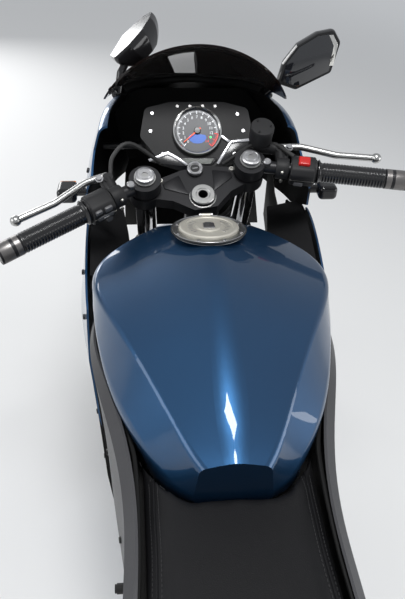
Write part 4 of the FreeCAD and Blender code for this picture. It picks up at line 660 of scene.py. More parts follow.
chromed = finish("chromed_steel", (0.75, 0.75, 0.76), roughness=(0.05, 0.1), Metallic=1.0)
tubes = bmesh.new()
for side in (1, -1):
    rod(tubes, (0, side * LEG, 361), (0, side * LEG, 480), 18.9, sides=48)
    rod(tubes, (0, side * LEG, 512), (0, side * LEG, 666), 18.9, sides=48)
made("fork_tubes", tubes, chromed, "steering", fork_mm)

# Bars: tubes clamped round the legs below the caps, ribbed rubber grips, heavy turned ends, moulded
# switch housings of two halves screwed together, a round fluid reservoir on the right.
BAR = Vector((-104, 254, 20))
BAR_START = Vector((0, 94, 706))


def bar_place(side, distance):
    """Place on a bar: z out along it, x up, y ahead. The right one is a mirror image."""
    way = Vector((BAR.x, side * BAR.y, BAR.z)).normalized()
    up = (Vector((0, 0, 1)) - way * way.z).normalized()
    ahead = way.cross(up) * side
    start = Vector((BAR_START.x, side * BAR_START.y, BAR_START.z)) + way * distance
    return Matrix.Translation(start) @ Matrix((up, ahead, way)).transposed().to_4x4()


gloss_grip = finish("gloss_grip", (0.011, 0.011, 0.012), roughness=(0.16, 0.3), bump=0.0001)
GRIP_LOW, RIB_TOP, RIB_PITCH = 16.2, 17.1, 5
grip_profile = [(11.3, 118), (19.5, 118), (21.3, 119.4), (21.3, 120.8), (18.6, 122.6), (16.3, 125)]
for number in range(21):
    start = 128 + number * RIB_PITCH
    grip_profile += [(GRIP_LOW, start), (RIB_TOP, start + 0.8)]
    grip_profile += [(RIB_TOP, start + 3.2), (GRIP_LOW, start + 4)]
grip_profile += [(16.6, 234), (15.6, 235.6), (11.3, 235.6)]
grip_mesh = bmesh.new()
for side in (1, -1):
    turned(grip_mesh, bar_place(side, 0), grip_profile)
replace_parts(made("grip_rubbers", grip_mesh, gloss_grip, "steering", fork_mm, 50), "grips")
weights = bmesh.new()
for side in (1, -1):
    turned(weights, bar_place(side, 0),
           [(10, 236), (16, 236), (17.2, 237.4), (17.2, 246), (15.6, 248), (15.6, 250), (17.2, 252),
            (17.2, 270), (15.8, 273.6), (8, 274.4), (7.4, 272.6), (0, 272.6)])
weight_steel = finish("bar_weight", (0.2, 0.19, 0.185), roughness=(0.3, 0.42), Metallic=0.8)
made("bar_weights", weights, weight_steel, "steering", fork_mm)

black_plastic = finish("black_plastic", (0.012, 0.012, 0.013), roughness=(0.5, 0.62), bump=0.0003,
                       Specular_IOR_Level=0.3)
clad(black_plastic, "chain_guard", "rear_fender", "inner_panels", "instrument_panel", "hand_controls")
housings = bmesh.new()
for side in (1, -1):
    place = bar_place(side, 72)
    outline = [(-20, -16), (-12, -24), (12, -24), (21, -15), (22, 6), (16, 20), (-8, 24), (-20, 14)]
    slab(housings, outline, 0, 43, place, 3.5, 3)
    bar = bar_place(side, 0)
    turned(housings, bar, [(12, 112), (19, 112), (20, 114), (20, 117), (12, 117)])
    turned(housings, bar, [(12, 47), (17.6, 47), (18.4, 49), (18.4, 67), (17.6, 69), (12, 69)])
    brick(housings, (-8, 12, -20), (8, 40, -6), 3, 2, place)
made("switch_housings", housings, black_plastic, "steering", fork_mm, 30)
seams = bmesh.new()
for side in (1, -1):
    place = bar_place(side, 72)
    brick(seams, (0.4, -24.6, 1), (1.0, -23.5, 42), 0, 1, place)
    for distance in (8, 36):
        screw(seams, place @ Vector((-21, 4, distance)), place.to_3x3() @ Vector((-1, 0, 0)), 3)
    clamp = bar_place(side, 58)
    for up_down in (-11, 11):
        screw(seams, clamp @ Vector((up_down, -18, 0)), clamp.to_3x3() @ Vector((0, -1, 0)), 3.4)
made("housing_screws", seams, zinc_steel, "steering", fork_mm)
grey_button = finish("grey_button", (0.1, 0.1, 0.105), roughness=(0.4, 0.5))
buttons = bmesh.new()
place = bar_place(1, 72)
brick(buttons, (8, -25, 8), (18, -19, 22), 2, 2, place)
brick(buttons, (-6, -25.5, 6), (4, -21, 36), 2, 2, place)
rod(buttons, place @ Vector((-13, -21, 14)), place @ Vector((-13, -25, 14)), 6.5, 5.6)
brick(buttons, (10, -25, 27), (18, -19, 39), 2, 2, place)
place = bar_place(-1, 72)
brick(buttons, (-14, -25.5, 8), (-4, -20, 24), 2, 2, place)
made("switch_buttons", buttons, grey_button, "steering", fork_mm)
red_button = finish("red_button", (0.5, 0.012, 0.01), roughness=(0.25, 0.35))
stop_button = bmesh.new()
brick(stop_button, (17, -8, 12), (27, 10, 32), 2.5, 3, place)
made("stop_switch", stop_button, red_button, "steering", fork_mm)
left_mark = bmesh.new()
brick(left_mark, (-1.6, -25.9, 16), (-0.4, -25.3, 26), 0, 1, bar_place(1, 72))
pale_mark = finish("pale_mark", (0.7, 0.7, 0.68), roughness=(0.4, 0.5))
made("switch_mark", left_mark, pale_mark, "steering", fork_mm)
reservoir = bmesh.new()
centre = bar_place(-1, 30).translation + Vector((48, 0, 18))
lathe(reservoir, centre, (0, 0, 1),
      ((0, -1), (17, -1), (20.4, 2), (20.4, 22), (20.8, 22), (20.8, 30), (19.4, 32.6), (6, 33.2), (0, 33.2)))
for number in range(3):
    angle = math.radians(number * 120 + 20)
    screw(reservoir, centre + Vector((14.5 * math.cos(angle), 14.5 * math.sin(angle), 32.6)), (0, 0, 1), 2.6)
made("fluid_reservoir", reservoir, black_plastic, "steering", fork_mm)
pivots = bmesh.new()
for side in (1, -1):
    hexagon(pivots, bar_place(side, 66) @ Vector((10, 40, 0)), (0, 0, 1), 5.5, 5)
    perch = bar_place(side, 30)
    lathe(pivots, perch @ Vector((13, -1, 0)), perch.to_3x3() @ Vector((1, 0, 0)),
          ((0, 6), (5, 6), (7, 4.4), (7, -3)), 24)
made("lever_pivots", pivots, satin_cap, "steering", fork_mm)
cables = bmesh.new()
for side, rows in ((1, ((40, 4, 44), (70, 10, 20), (78, 14, -20), (40, -20, -60))),
                   (-1, ((16, 16, 76), (44, 10, 40), (54, -8, 0), (30, -40, -50)))):
    place = bar_place(side, 0)
    line = [place @ Vector((up, ahead, distance)) for ahead, up, distance in rows]
    pipe(cables, eased(line), 3.6, 10)
made("control_cables", cables, rubber_hose, "steering", fork_mm)
clad(rubber_hose, "front_brake_hose")

# Paint: deep blue metallic over primer, under a thick clear coat, on the pressed steel tank and the
# moulded panels. The panels' insides are left in black plastic.
BLUE = ((0.016, 0.068, 0.16), (0.012, 0.052, 0.125))
blue_paint = finish("blue_paint", *BLUE, roughness=(0.36, 0.44), grain=2600.0, Metallic=0.85,
                    Coat_Weight=1.0, Coat_Roughness=0.02, Coat_IOR=1.38, Specular_IOR_Level=0.3)
clad(blue_paint, "fuel_tank", "tail_cowl", "upper_cowl", "side_cowl_left", "side_cowl_right", "belly_pan",
     "front_fender")
# Flat black of the panels' insides, used again below for the sheets that close the nose, the flanks and the
# gaps along the seat, where it is painted shade.
flat_black_and_gap_shade = finish("flat_black_and_gap_shade", (0.008, 0.008, 0.008), roughness=(0.6, 0.75), bump=0.0003,
                      Specular_IOR_Level=0.25)


def black_inside(node, axis_height):
    """Second finish on a shell's faces that look inwards at the line over the machine's middle."""
    item = frame["nodes"][node]
    item.data.materials.append(flat_black_and_gap_shade)
    to_machine = machine.inverted()
    turn = to_machine.to_3x3()
    for face in item.data.polygons:
        middle, way = to_machine @ face.center, turn @ face.normal
        outwards = Vector((0, middle.y, middle.z - axis_height))
        if middle.x > 0.8:
            outwards.x = 0.1
        if way.dot(outwards) < 0:
            face.material_index = 1


for node, height in (("upper_cowl", 0.89), ("side_cowl_left", 0.6), ("side_cowl_right", 0.6),
                     ("belly_pan", 0.3), ("tail_cowl", 0.77)):
    black_inside(node, height)


def surface_of(*nodes):
    """Search tree of CAD nodes' surfaces, in the machine's millimetres."""
    mesh = bmesh.new()
    for node in nodes:
        mesh.from_mesh(frame["nodes"][node].data)
    mesh.transform(chassis_mm.inverted())
    bmesh.ops.remove_doubles(mesh, verts=mesh.verts, dist=0.01)
    tree = BVHTree.FromBMesh(mesh)
    mesh.free()
    return tree


panels = surface_of("upper_cowl", "side_cowl_left", "side_cowl_right", "belly_pan", "tail_cowl",
                    "side_covers", "inner_panels")


def from_side(tree, side, x, z):
    """Spot and outward direction on a surface, found from the machine's side."""
    spot, way, _, _ = tree.ray_cast(Vector((x, side * 600, z)), Vector((0, -side, 0)))
    if spot is None:
        return None, None
    return spot, way if way.y * side > 0 else -way


FASTENERS = ((540, 760), (430, 800), (300, 790), (214, 760), (146, 600), (126, 500), (120, 420), (330, 400),
             (250, 330), (150, 292), (60, 236), (280, 260), (700, 830), (470, 900), (150, 720), (20, 650),
             (-120, 640), (-300, 660), (-420, 700), (-560, 770), (-760, 800), (440, 640), (470, 560))
fasteners = bmesh.new()
for side in (1, -1):
    for x, z in FASTENERS:
        spot, way = from_side(panels, side, x, z)
        if spot is not None:
            screw(fasteners, spot, way, 5.2)
black_screw = finish("black_screw", (0.03, 0.03, 0.03), roughness=(0.25, 0.4), Metallic=0.6)
made("panel_screws", fasteners, black_screw, "chassis")

# Fuel filler: a turned ring let into the tank's top with socket screws round it, and a hinged cap
# with a raised middle, a key flap and a ring of turned marks.
pale_brushed = finish("pale_brushed", (0.6, 0.58, 0.52), (0.5, 0.48, 0.42), roughness=(0.38, 0.5),
                      grain=1400.0, Metallic=0.6)
clad(pale_brushed, "fuel_cap")
FILLER = Matrix.Translation((245, 0, 909)) @ Matrix.Rotation(math.radians(10), 4, "Y")
FILLER_UP = FILLER.to_3x3() @ Vector((0, 0, 1))
filler_screws = bmesh.new()
for number in range(8):
    angle = math.radians(number * 45 + 22.5)
    spot = FILLER @ Vector((53 * math.cos(angle), 53 * math.sin(angle), 0))
    screw(filler_screws, spot, FILLER_UP, 3.2)
made("filler_screws", filler_screws, satin_cap, "chassis")
filler_rim = bmesh.new()
lathe(filler_rim, FILLER.translation, FILLER_UP,
      ((57.4, -2), (58.4, 0.2), (57.6, 1.2), (56.2, 0.4), (56.2, -0.5)), 96)
made("filler_rim", filler_rim, satin_cap, "chassis")
cap_top = bmesh.new()
lathe(cap_top, FILLER.translation, FILLER_UP,
      ((0, 5.4), (18, 5.4), (20, 4.6), (20.6, 3.6), (38, 3.6), (38.8, 4.8), (44, 4.8), (46.6, 3.4),
       (47.6, 1.6), (47.6, 0)), 96)
made("cap_top", cap_top, pale_brushed, "fuel_cap", chassis_mm, 20)
cap_flap = bmesh.new()
KEY_FLAP = ((-13, -9), (6, -9), (11, -5), (11, 5), (6, 9), (-13, 9))
slab(cap_flap, KEY_FLAP, 5.2, 7.4, FILLER, 0.8)
for number in range(30):
    angle = math.radians(number * 12)
    if 40 < math.degrees(angle) < 140 or 220 < math.degrees(angle) < 320:
        turn = FILLER @ Matrix.Rotation(angle, 4, "Z")
        brick(cap_flap, (26, -0.7, 3.5), (34, 0.7, 4.2), 0, 1, turn)
made("cap_flap", cap_flap, satin_cap, "fuel_cap", chassis_mm)
seal_ring = bmesh.new()
lathe(seal_ring, FILLER.translation, FILLER_UP, ((57.6, -4), (60.2, -1.2), (60.2, 0.3), (57.6, 0.6)), 96)
made("filler_seal", seal_ring, rubber_hose, "chassis")

# Seats: moulded foam under stretched black vinyl, stapled to a pan, with a piped seam and two rows
# of stitches along each side. The cover is blown up over the foam and then held to its shape.
vinyl = finish("vinyl", (0.005, 0.005, 0.0055), (0.007, 0.007, 0.008), roughness=(0.46, 0.58), clouds=9.0,
               grain=900.0, bump=0.0006, Specular_IOR_Level=0.16)


def relax(mesh, times):
    """Draw every point of a mesh halfway towards its neighbours, some times over."""
    for _ in range(times):
        bmesh.ops.smooth_vert(mesh, verts=mesh.verts, factor=0.5, use_axis_x=True, use_axis_y=True,
                              use_axis_z=True)


FOAM_GRAIN, COVER_SLACK, SEAT_BREADTH = 0.006, 0.0025, 1.06


def cover_of(name, node):
    """Even mesh of a pad's shape, a little smaller than the pad, ready to be blown up."""
    mesh = bmesh.new()
    mesh.from_mesh(frame["nodes"][node].data)
    bmesh.ops.remove_doubles(mesh, verts=mesh.verts, dist=0.00002)
    data = bpy.data.meshes.new(name)
    mesh.to_mesh(data)
    mesh.free()
    item = bpy.data.objects.new(name, data)
    bpy.context.scene.collection.objects.link(item)
    even = item.modifiers.new("even", "REMESH")
    even.mode = "VOXEL"
    even.voxel_size = FOAM_GRAIN
    even_mesh = bpy.data.meshes.new_from_object(item.evaluated_get(bpy.context.evaluated_depsgraph_get()))
    item.modifiers.clear()
    item.data = even_mesh
    mesh = bmesh.new()
    mesh.from_mesh(even_mesh)
    relax(mesh, 3)
    mesh.normal_update()
    broader = machine @ Matrix.Diagonal((1, SEAT_BREADTH, 1, 1)) @ machine.inverted()
    for vert in mesh.verts:
        vert.co = broader @ (vert.co - vert.normal * COVER_SLACK)
    mesh.to_mesh(even_mesh)
    mesh.free()
    even_mesh.name = name
    return item


def stretch(items, limit):
    """Blow the covers up together for twenty steps, then keep each point within a limit of its start."""
    for item in items:
        cloth = item.modifiers.new("cover", "CLOTH")
        cloth.settings.quality = 4
        cloth.settings.mass = 0.3
        cloth.settings.tension_stiffness = 12
        cloth.settings.compression_stiffness = 12
        cloth.settings.bending_stiffness = 1.5
        cloth.settings.use_pressure = True
        cloth.settings.uniform_pressure_force = 4
        cloth.settings.effector_weights.gravity = 0
        cloth.point_cache.frame_start, cloth.point_cache.frame_end = 1, 20
    for step in range(1, 21):
        bpy.context.scene.frame_set(step)
    view = bpy.context.evaluated_depsgraph_get()
    for item in items:
        blown = bpy.data.meshes.new_from_object(item.evaluated_get(view))
        first = [vert.co.copy() for vert in item.data.vertices]
        item.modifiers.clear()
        for vert, start in zip(blown.vertices, first):
            move = vert.co - start
            if move.length > limit:
                vert.co = start + move * (limit / move.length)
        item.data = blown
    bpy.context.scene.frame_set(1)


seats = {}
for name, node in (("rider_cushion", "seat_rider"), ("pillion_cushion", "seat_pillion")):
    seats[name] = cover_of(name, node)
stretch(list(seats.values()), 0.006)
for (name, item), node in zip(seats.items(), ("seat_rider", "seat_pillion")):
    soften = bmesh.new()
    soften.from_mesh(item.data)
    relax(soften, 1)
    soften.to_mesh(item.data)
    soften.free()
    item.data.materials.clear()
    item.data.materials.append(vinyl)
    item.data.shade_smooth()
    finer = item.modifiers.new("finer", "SUBSURF")
    finer.levels = finer.render_levels = 1
    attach(item, "chassis")
    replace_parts(item, node)

piping, stitches = bmesh.new(), bmesh.new()
SEAM_TO_STITCH, STITCH = 6.5, 3.6
SEAMS = {"rider_cushion": ((-100, 96), (-160, 95), (-230, 93), (-310, 96), (-380, 108), (-430, 114)),
         "pillion_cushion": ((-505, 86), (-560, 92), (-640, 86), (-710, 72), (-768, 54))}
for name, row in SEAMS.items():
    mesh = bmesh.new()
    mesh.from_object(seats[name], bpy.context.evaluated_depsgraph_get())
    mesh.transform(chassis_mm.inverted())
    tree = BVHTree.FromBMesh(mesh)
    mesh.free()
    for side in (1, -1):
        line = eased([(x, side * y, 0) for x, y in row], 14)
        on_cover = []
        for point in line:
            spot, way, _, _ = tree.ray_cast(Vector((point.x, point.y, 1100)), Vector((0, 0, -1)))
            if spot is not None:
                on_cover.append((spot, way))
        pipe(piping, [spot + way * 0.3 for spot, way in on_cover], 1.5, 8)
        for (here, way), (there, _) in zip(on_cover[1:-1], on_cover[2:]):
            run = there - here
            inwards = way.cross(run).normalized() * side
            for offset in (SEAM_TO_STITCH, -SEAM_TO_STITCH):
                spot, normal, _, _ = tree.find_nearest(here + inwards * offset)
                start = spot + normal * 0.25
                rod(stitches, start, start + run.normalized() * STITCH, 0.55, sides=5)
made("seat_piping", piping, vinyl, "chassis")
black_thread = finish("black_thread", (0.018, 0.018, 0.019), roughness=(0.6, 0.7))
made("seat_stitches", stitches, black_thread, "chassis")
border = bmesh.new()
edge_line = [(-40, 131, 788), (-62, 125, 781), (-90, 119, 777), (-130, 116, 773), (-180, 114, 771),
             (-230, 113.6, 768), (-290, 115, 768), (-330, 117, 766)]
for side in (1, -1):
    pipe(border, eased([(x, side * y, z) for x, y, z in edge_line]), 3.2, 8)
made("seat_border", border, flat_black_and_gap_shade, "chassis")

# Side covers: satin grey strips moulded in filled nylon. Each is clipped over the frame's rail
# beside the tank and the seat.
grey_plastic = finish("grey_plastic", (0.034, 0.034, 0.038), roughness=(0.36, 0.48), bump=0.0002,
                      Specular_IOR_Level=0.4)
clad(grey_plastic, "side_covers")

# Instruments: a black moulded panel with a round tachometer in a bright bezel, printed figures, a
# red zone, a needle, a liquid crystal strip below and silver trim strips screwed to the panel.
DIAL_TOP, DIAL_LEFT = Vector((0.66, 0, 0.75)).normalized(), Vector((0, 1, 0))
DIAL_UP = Vector((-0.75, 0, 0.66)).normalized()
DIAL = Matrix.Translation((518, 0, 953)) @ Matrix((DIAL_TOP, DIAL_LEFT, DIAL_UP)).transposed().to_4x4()
bezel = bmesh.new()
lathe(bezel, DIAL.translation, DIAL_UP,
      ((45.8, 0), (47, 1), (47, 9), (45.6, 11.6), (43.2, 12), (41.6, 10.4), (41.4, 7)), 96)
made("dial_bezel", bezel, polished, "chassis")
face_plate = bmesh.new()
lathe(face_plate, DIAL.translation, DIAL_UP, ((0, 6.4), (41.6, 6.4), (41.6, 6)), 96)
dial_black = finish("dial_black", (0.022, 0.026, 0.034), roughness=(0.35, 0.45))
made("dial_face", face_plate, dial_black, "chassis")


def lit(name, colour, strength, base=None):
    """Printed or lit mark whose colour hardly depends on the lamps."""
    material = finish(name, base or colour, roughness=(0.4, 0.5))
    shader = material.node_tree.nodes["Principled BSDF"]
    shader.inputs["Emission Color"].default_value = (*colour, 1)
    shader.inputs["Emission Strength"].default_value = strength
    return material


pale_print = lit("pale_print", (0.8, 0.82, 0.85), 0.35)
red_print = lit("red_print", (0.8, 0.03, 0.02), 0.3)


def dial_angle(value):
    """Angle on the dial, anticlockwise from the right, of a speed in thousands."""
    return math.radians(228 - 276 * value / 14)


def on_dial(reach, value):
    """Place on the dial's face, at a reach from its middle and a speed in thousands."""
    angle = dial_angle(value)
    return reach * math.sin(angle), -reach * math.cos(angle)


marks, red_marks = bmesh.new(), bmesh.new()
for number in range(71):
    long_mark = number % 5 == 0
    turn = DIAL @ Matrix.Rotation(dial_angle(number / 5) - math.pi / 2, 4, "Z")
    start = 32.6 if long_mark else 35.4
    half = 0.75 if long_mark else 0.36
    brick(red_marks if number >= 60 else marks, (start, -half, 6.5), (38.6, half, 6.9), 0, 1, turn)
arc = [on_dial(40.4, 12 + number / 6) for number in range(13)]
arc += [on_dial(38.9, 12 + number / 6) for number in reversed(range(13))]
slab(red_marks, arc, 6.5, 6.9, DIAL)
made("dial_marks", marks, pale_print, "chassis")
made("dial_red_zone", red_marks, red_print, "chassis")


def words(name, rows, material):
    """Raised figures: rows of text, place right and up on the dial, height and size."""
    mesh = bmesh.new()
    for text, right_by, up_by, height, size in rows:
        curve = bpy.data.curves.new(name, "FONT")
        curve.body, curve.size, curve.extrude = text, size, 0.12
        curve.align_x, curve.align_y = "CENTER", "CENTER"
        curve.resolution_u = 3
        item = bpy.data.objects.new(name, curve)
        bpy.context.scene.collection.objects.link(item)
        flat = bpy.data.meshes.new_from_object(item.evaluated_get(bpy.context.evaluated_depsgraph_get()))
        bpy.data.objects.remove(item)
        turn = Matrix(((0, 1, 0, up_by), (-1, 0, 0, -right_by), (0, 0, 1, height), (0, 0, 0, 1)))
        flat.transform(DIAL @ turn)
        mesh.from_mesh(flat)
    bmesh.ops.remove_doubles(mesh, verts=mesh.verts, dist=0.001)
    made(name, mesh, material, "chassis")


FIGURE_REACH, FIGURE_HEIGHT, FIGURE_SIZE = 26.6, 6.7, 7.6


def figure_rows(numbers):
    """Rows for the dial's figures, each at its place on one ring."""
    rows = []
    for number in numbers:
        angle = dial_angle(number)
        rows.append((str(number), FIGURE_REACH * math.cos(angle), FIGURE_REACH * math.sin(angle),
                     FIGURE_HEIGHT, FIGURE_SIZE))
    return rows


words("dial_figures", figure_rows(range(13)), pale_print)
words("dial_red_figures", figure_rows((13, 14)), red_print)
glow = bmesh.new()
slab(glow, [(-24, 0), (-23, 8), (-19, 14), (-13, 17), (-8, 15), (-6.5, 8), (-6.5, -8), (-8, -15), (-13, -17),
            (-19, -14), (-23, -8)], 6.45, 6.7, DIAL)
made("dial_blue_glow", glow, lit("blue_glow", (0.02, 0.1, 0.42), 0.5), "chassis")
needle = bmesh.new()
turn = DIAL @ Matrix.Rotation(dial_angle(0.4) - math.pi / 2, 4, "Z")
slab(needle, [(-8, -1.7), (34, -0.5), (34, 0.5), (-8, 1.7)], 8.4, 9.2, turn)
made("dial_needle", needle, lit("needle_orange", (0.9, 0.09, 0.02), 0.5), "chassis")
hub = bmesh.new()
lathe(hub, DIAL.translation, DIAL_UP, ((6.4, 6.4), (6.4, 9.2), (5.4, 10.4), (0, 10.6)), 40)
hub_black = finish("hub_black", (0.015, 0.015, 0.015), roughness=(0.25, 0.35))
made("dial_hub", hub, hub_black, "chassis")
lamp = bmesh.new()
lathe(lamp, DIAL @ Vector((-12, -25, 0)), DIAL_UP, ((0, 7.4), (1.8, 7.2), (2.2, 6.4)), 20)
made("neutral_lamp", lamp, lit("green_lamp", (0.02, 0.75, 0.2), 1.2), "chassis")

screen_frame, crystal = bmesh.new(), bmesh.new()
slab(screen_frame, [(-49, 34), (-49, -34), (-54, -38), (-64, -27), (-64, 27), (-54, 38)], -0.5, 1.6,
     DIAL, 0.8)
slab(crystal, [(-51.6, 30), (-51.6, -30), (-61.4, -24), (-61.4, 24)], 1.5, 2.0, DIAL)
made("crystal_frame", screen_frame, gloss_grip, "chassis")
crystal_grey = finish("crystal_grey", (0.05, 0.06, 0.05), roughness=(0.12, 0.2))
made("crystal_strip", crystal, crystal_grey, "chassis")
lamps_row = bmesh.new()
for number in range(4):
    left_by = -36 + number * 24
    rod(lamps_row, DIAL @ Vector((50, left_by, -1)), DIAL @ Vector((50, left_by, 0.8)), 3.2, 2.8, 16)
dark_lens = finish("dark_lens", (0.06, 0.03, 0.02), roughness=(0.1, 0.2))
made("telltale_lenses", lamps_row, dark_lens, "chassis")

silver_trim = finish("silver_trim", (0.6, 0.6, 0.62), roughness=(0.22, 0.32), Metallic=0.9, Coat_Weight=0.3)
trims = bmesh.new()


def strip(mesh, points, width, low, high, place):
    """Flat strip of one width through points of a place, mitred at its bends."""
    points = [Vector(point) for point in points]
    left, right_edge = [], []
    for number, point in enumerate(points):
        back = (point - points[number - 1]).normalized() if number else (points[1] - point).normalized()
        ahead = (points[number + 1] - point).normalized() if number < len(points) - 1 else back
        mid = (back + ahead).normalized()
        side_way = Vector((-mid.y, mid.x)) * (width / 2 / max(mid.dot(ahead), 0.4))
        left.append(point + side_way)
        right_edge.append(point - side_way)
    slab(mesh, left + right_edge[::-1], low, high, place, 0.6)


slab(trims, [(-52, 94), (-37, 56), (-50, 34), (-63, 18), (-65, 23), (-54, 38), (-44, 57), (-57, 91)],
     1.6, 3.4, DIAL, 0.5)
strip(trims, ((-16, -99), (-20, -64), (-62, -37)), 5.6, 1.2, 3.2, DIAL)
strip(trims, ((-21, -63), (-8, -45)), 5.6, 1.2, 3.2, DIAL)
made("panel_trims", trims, silver_trim, "chassis")
trim_backs = bmesh.new()
slab(trim_backs, [(-54, 94), (-37, 57), (-49, 34), (-64, 16), (-66, 30), (-60, 72)], -2, 1.8, DIAL, 0.8)
slab(trim_backs, [(-14, -98), (-18, -64), (-62, -34), (-64, -44), (-52, -76), (-30, -98)], -2, 1.4,
     DIAL, 0.8)
made("trim_backs", trim_backs, gloss_grip, "chassis")
panel_screws = bmesh.new()
for up_by, left_by in ((2, 88), (36, 84), (34, -78), (2, -88), (-42, 66), (-42, -70)):
    screw(panel_screws, DIAL @ Vector((up_by, left_by, 0)), DIAL_UP, 3.6)
made("instrument_screws", panel_screws, satin_cap, "chassis")

# Windscreen: a bent sheet of dark smoke acrylic, held by small plastic screws. Flat black sheets under it
# close the nose, the flanks beside the fork and the gaps along the seat: painted shade in these spaces.
smoke_acrylic = finish("smoke_acrylic", (0.014, 0.008, 0.007), roughness=(0.03, 0.06), Alpha=0.93)
clad(smoke_acrylic, "windscreen")
screen_tree = surface_of("windscreen")
screen_screws = bmesh.new()
for side in (1, -1):
    for x, y in ((560, 160), (640, 138), (720, 100), (764, 56)):
        spot, way, _, _ = screen_tree.ray_cast(Vector((x, side * y, 1300)), Vector((0, 0, -1)))
        if spot is not None:
            screw(screen_screws, spot, way if way.z > 0 else -way, 4.6)
made("screen_screws", screen_screws, black_plastic, "chassis")

cowl_tree, cover_tree = surface_of("upper_cowl"), surface_of("side_covers")
# The nose sheet, the flank sheets and the side sheets below close open spaces with flat black: painted
# shade.
NOSE_MIDDLE, TRAY_FOOT, TRAY_HEAD = Vector((737, 0, 880)), Vector((602, 0, 700)), Vector((737, 0, 796))
SHEET_WALL, SHEET_SHARE, SIDE_REACH = 3, 0.985, 230
FACING_BACK = Matrix(((0, 0, -1, 0), (1, 0, 0, 0), (0, 1, 0, 0), (0, 0, 0, 1)))
lining = bmesh.new()
outline = []
for number in range(48):
    angle = 2 * math.pi * number / 48
    way = Vector((0, math.cos(angle), math.sin(angle)))
    spot, _, _, _ = cowl_tree.ray_cast(NOSE_MIDDLE, way, SIDE_REACH)
    if spot is None:
        spot = NOSE_MIDDLE + way * min(150, 82 / max(abs(way.z), 0.4))
    outline.append((spot.y * SHEET_SHARE, NOSE_MIDDLE.z + (spot.z - NOSE_MIDDLE.z) * SHEET_SHARE))
slab(lining, outline, 0, SHEET_WALL, Matrix.Translation((NOSE_MIDDLE.x, 0, 0)) @ FACING_BACK)
tray_way = TRAY_HEAD - TRAY_FOOT
tray = Matrix.Translation(TRAY_FOOT) @ Matrix.Rotation(-math.atan2(tray_way.z, tray_way.x), 4, "Y")
sides = []
for number in range(6):
    reach = tray_way.length * number / 5
    here = tray @ Vector((reach, 0, 0))
    spot, _, _, _ = cowl_tree.ray_cast(here, Vector((0, 1, 0)), SIDE_REACH)
    sides.append((reach, spot.y - 4 if spot else 150))
slab(lining, sides + [(reach, -half) for reach, half in reversed(sides)], 0, SHEET_WALL, tray)
made("nose_shade_sheet", lining, flat_black_and_gap_shade, "chassis")
FLANK_Y = 170
FLANK_OUTLINE = ((300, 655), (300, 770), (470, 782), (560, 800), (612, 850), (640, 850), (640, 700),
                 (520, 640))
flank_sheets = bmesh.new()
for side in (1, -1):
    low, high = sorted((side * FLANK_Y, side * (FLANK_Y + SHEET_WALL)))
    slab(flank_sheets, FLANK_OUTLINE, low, high, UPRIGHT)
made("flank_shade_sheets", flank_sheets, flat_black_and_gap_shade, "chassis")
side_sheets = bmesh.new()
for side in (1, -1):
    inner, outer = [], []
    for number in range(14):
        x = 190 - number * 40
        spot, _, _, _ = cover_tree.ray_cast(Vector((x, side * 60, 730)), Vector((0, side, 0)), 260)
        if spot is not None:
            inner.append((x, side * 88))
            outer.append((x, spot.y - side * 1.5))
    slab(side_sheets, inner + outer[::-1], 730 - SHEET_WALL, 730)
made("side_shade_sheets", side_sheets, flat_black_and_gap_shade, "chassis")

# Sill: the rubber moulding that fills the joint between the screen's foot and the cowl. It is
# pushed on before the screen is screwed down, and follows both edges.
foot = {}
screen_mesh = bmesh.new()
screen_mesh.from_mesh(frame["nodes"]["windscreen"].data)
screen_mesh.transform(chassis_mm.inverted())
for vert in screen_mesh.verts:
    place = round(vert.co.y / 10)
    if place not in foot or vert.co.z < foot[place].z:
        foot[place] = vert.co.copy()
screen_mesh.free()
sill_line = []
for place in sorted(foot)[1:-1]:
    near, _, _, _ = cowl_tree.find_nearest(foot[place])
    sill_line.append((foot[place] + near) / 2)
for _ in range(3):
    softer = [(a + b * 2 + c) / 4 for a, b, c in zip(sill_line, sill_line[1:], sill_line[2:])]
    sill_line = [sill_line[0]] + softer + [sill_line[-1]]
sill = bmesh.new()
pipe(sill, sill_line, 7.5, 10)
made("screen_sill", sill, rubber_hose, "chassis")

# Mirrors: glossy moulded shells on jointed stalks with silvered glass. The right one stands out, the left
# one is folded against the screen. The right glass is drawn nearly black, a painted dark reflection; only a
# crescent along its outer edge is a true mirror.
gloss_black = finish("gloss_black", (0.01, 0.01, 0.011), roughness=(0.08, 0.16))
clad(gloss_black, "mirrors", "turn_signals")
MIRROR_CENTRE, GLASS_SHARE = Vector((585.4, -217, 1070)), 0.87
MIRROR_FACE = ((158, 1020), (196, 1008), (262, 1042), (272, 1098), (256, 1120), (226, 1114), (190, 1092),
               (166, 1058))
glass_outline = [((z - MIRROR_CENTRE.z) * GLASS_SHARE, (-MIRROR_CENTRE.y - y) * GLASS_SHARE)
                 for y, z in MIRROR_FACE]
# Nearly black glass, not silvered: a painted dark reflection.
painted_dark_mirror = finish("painted_dark_mirror", (0.012, 0.013, 0.016), roughness=(0.02, 0.05), Coat_Weight=1.0)
FACING_RIDER = Matrix(((0, 0, -1, 0), (0, 1, 0, 0), (1, 0, 0, 0), (0, 0, 0, 1)))
glass_place = Matrix.Translation(MIRROR_CENTRE) @ FACING_RIDER
glass = bmesh.new()
slab(glass, glass_outline, -0.6, 0.8, glass_place, 0.5)
made("right_mirror_glass", glass, painted_dark_mirror, "chassis")
# Crescent along the glass's outer edge, the only part that is a true mirror.
edge_glass = bmesh.new()
slab(edge_glass, [(-14, -38), (-14, -46), (24, -49), (42, -37), (40, -30), (22, -41)], 0.6, 1.3,
     glass_place, 0.3)
mirror_silver = finish("mirror_silver", (0.85, 0.84, 0.8), roughness=(0.03, 0.08), Metallic=1.0)
made("mirror_edge_glass", edge_glass, mirror_silver, "chassis")

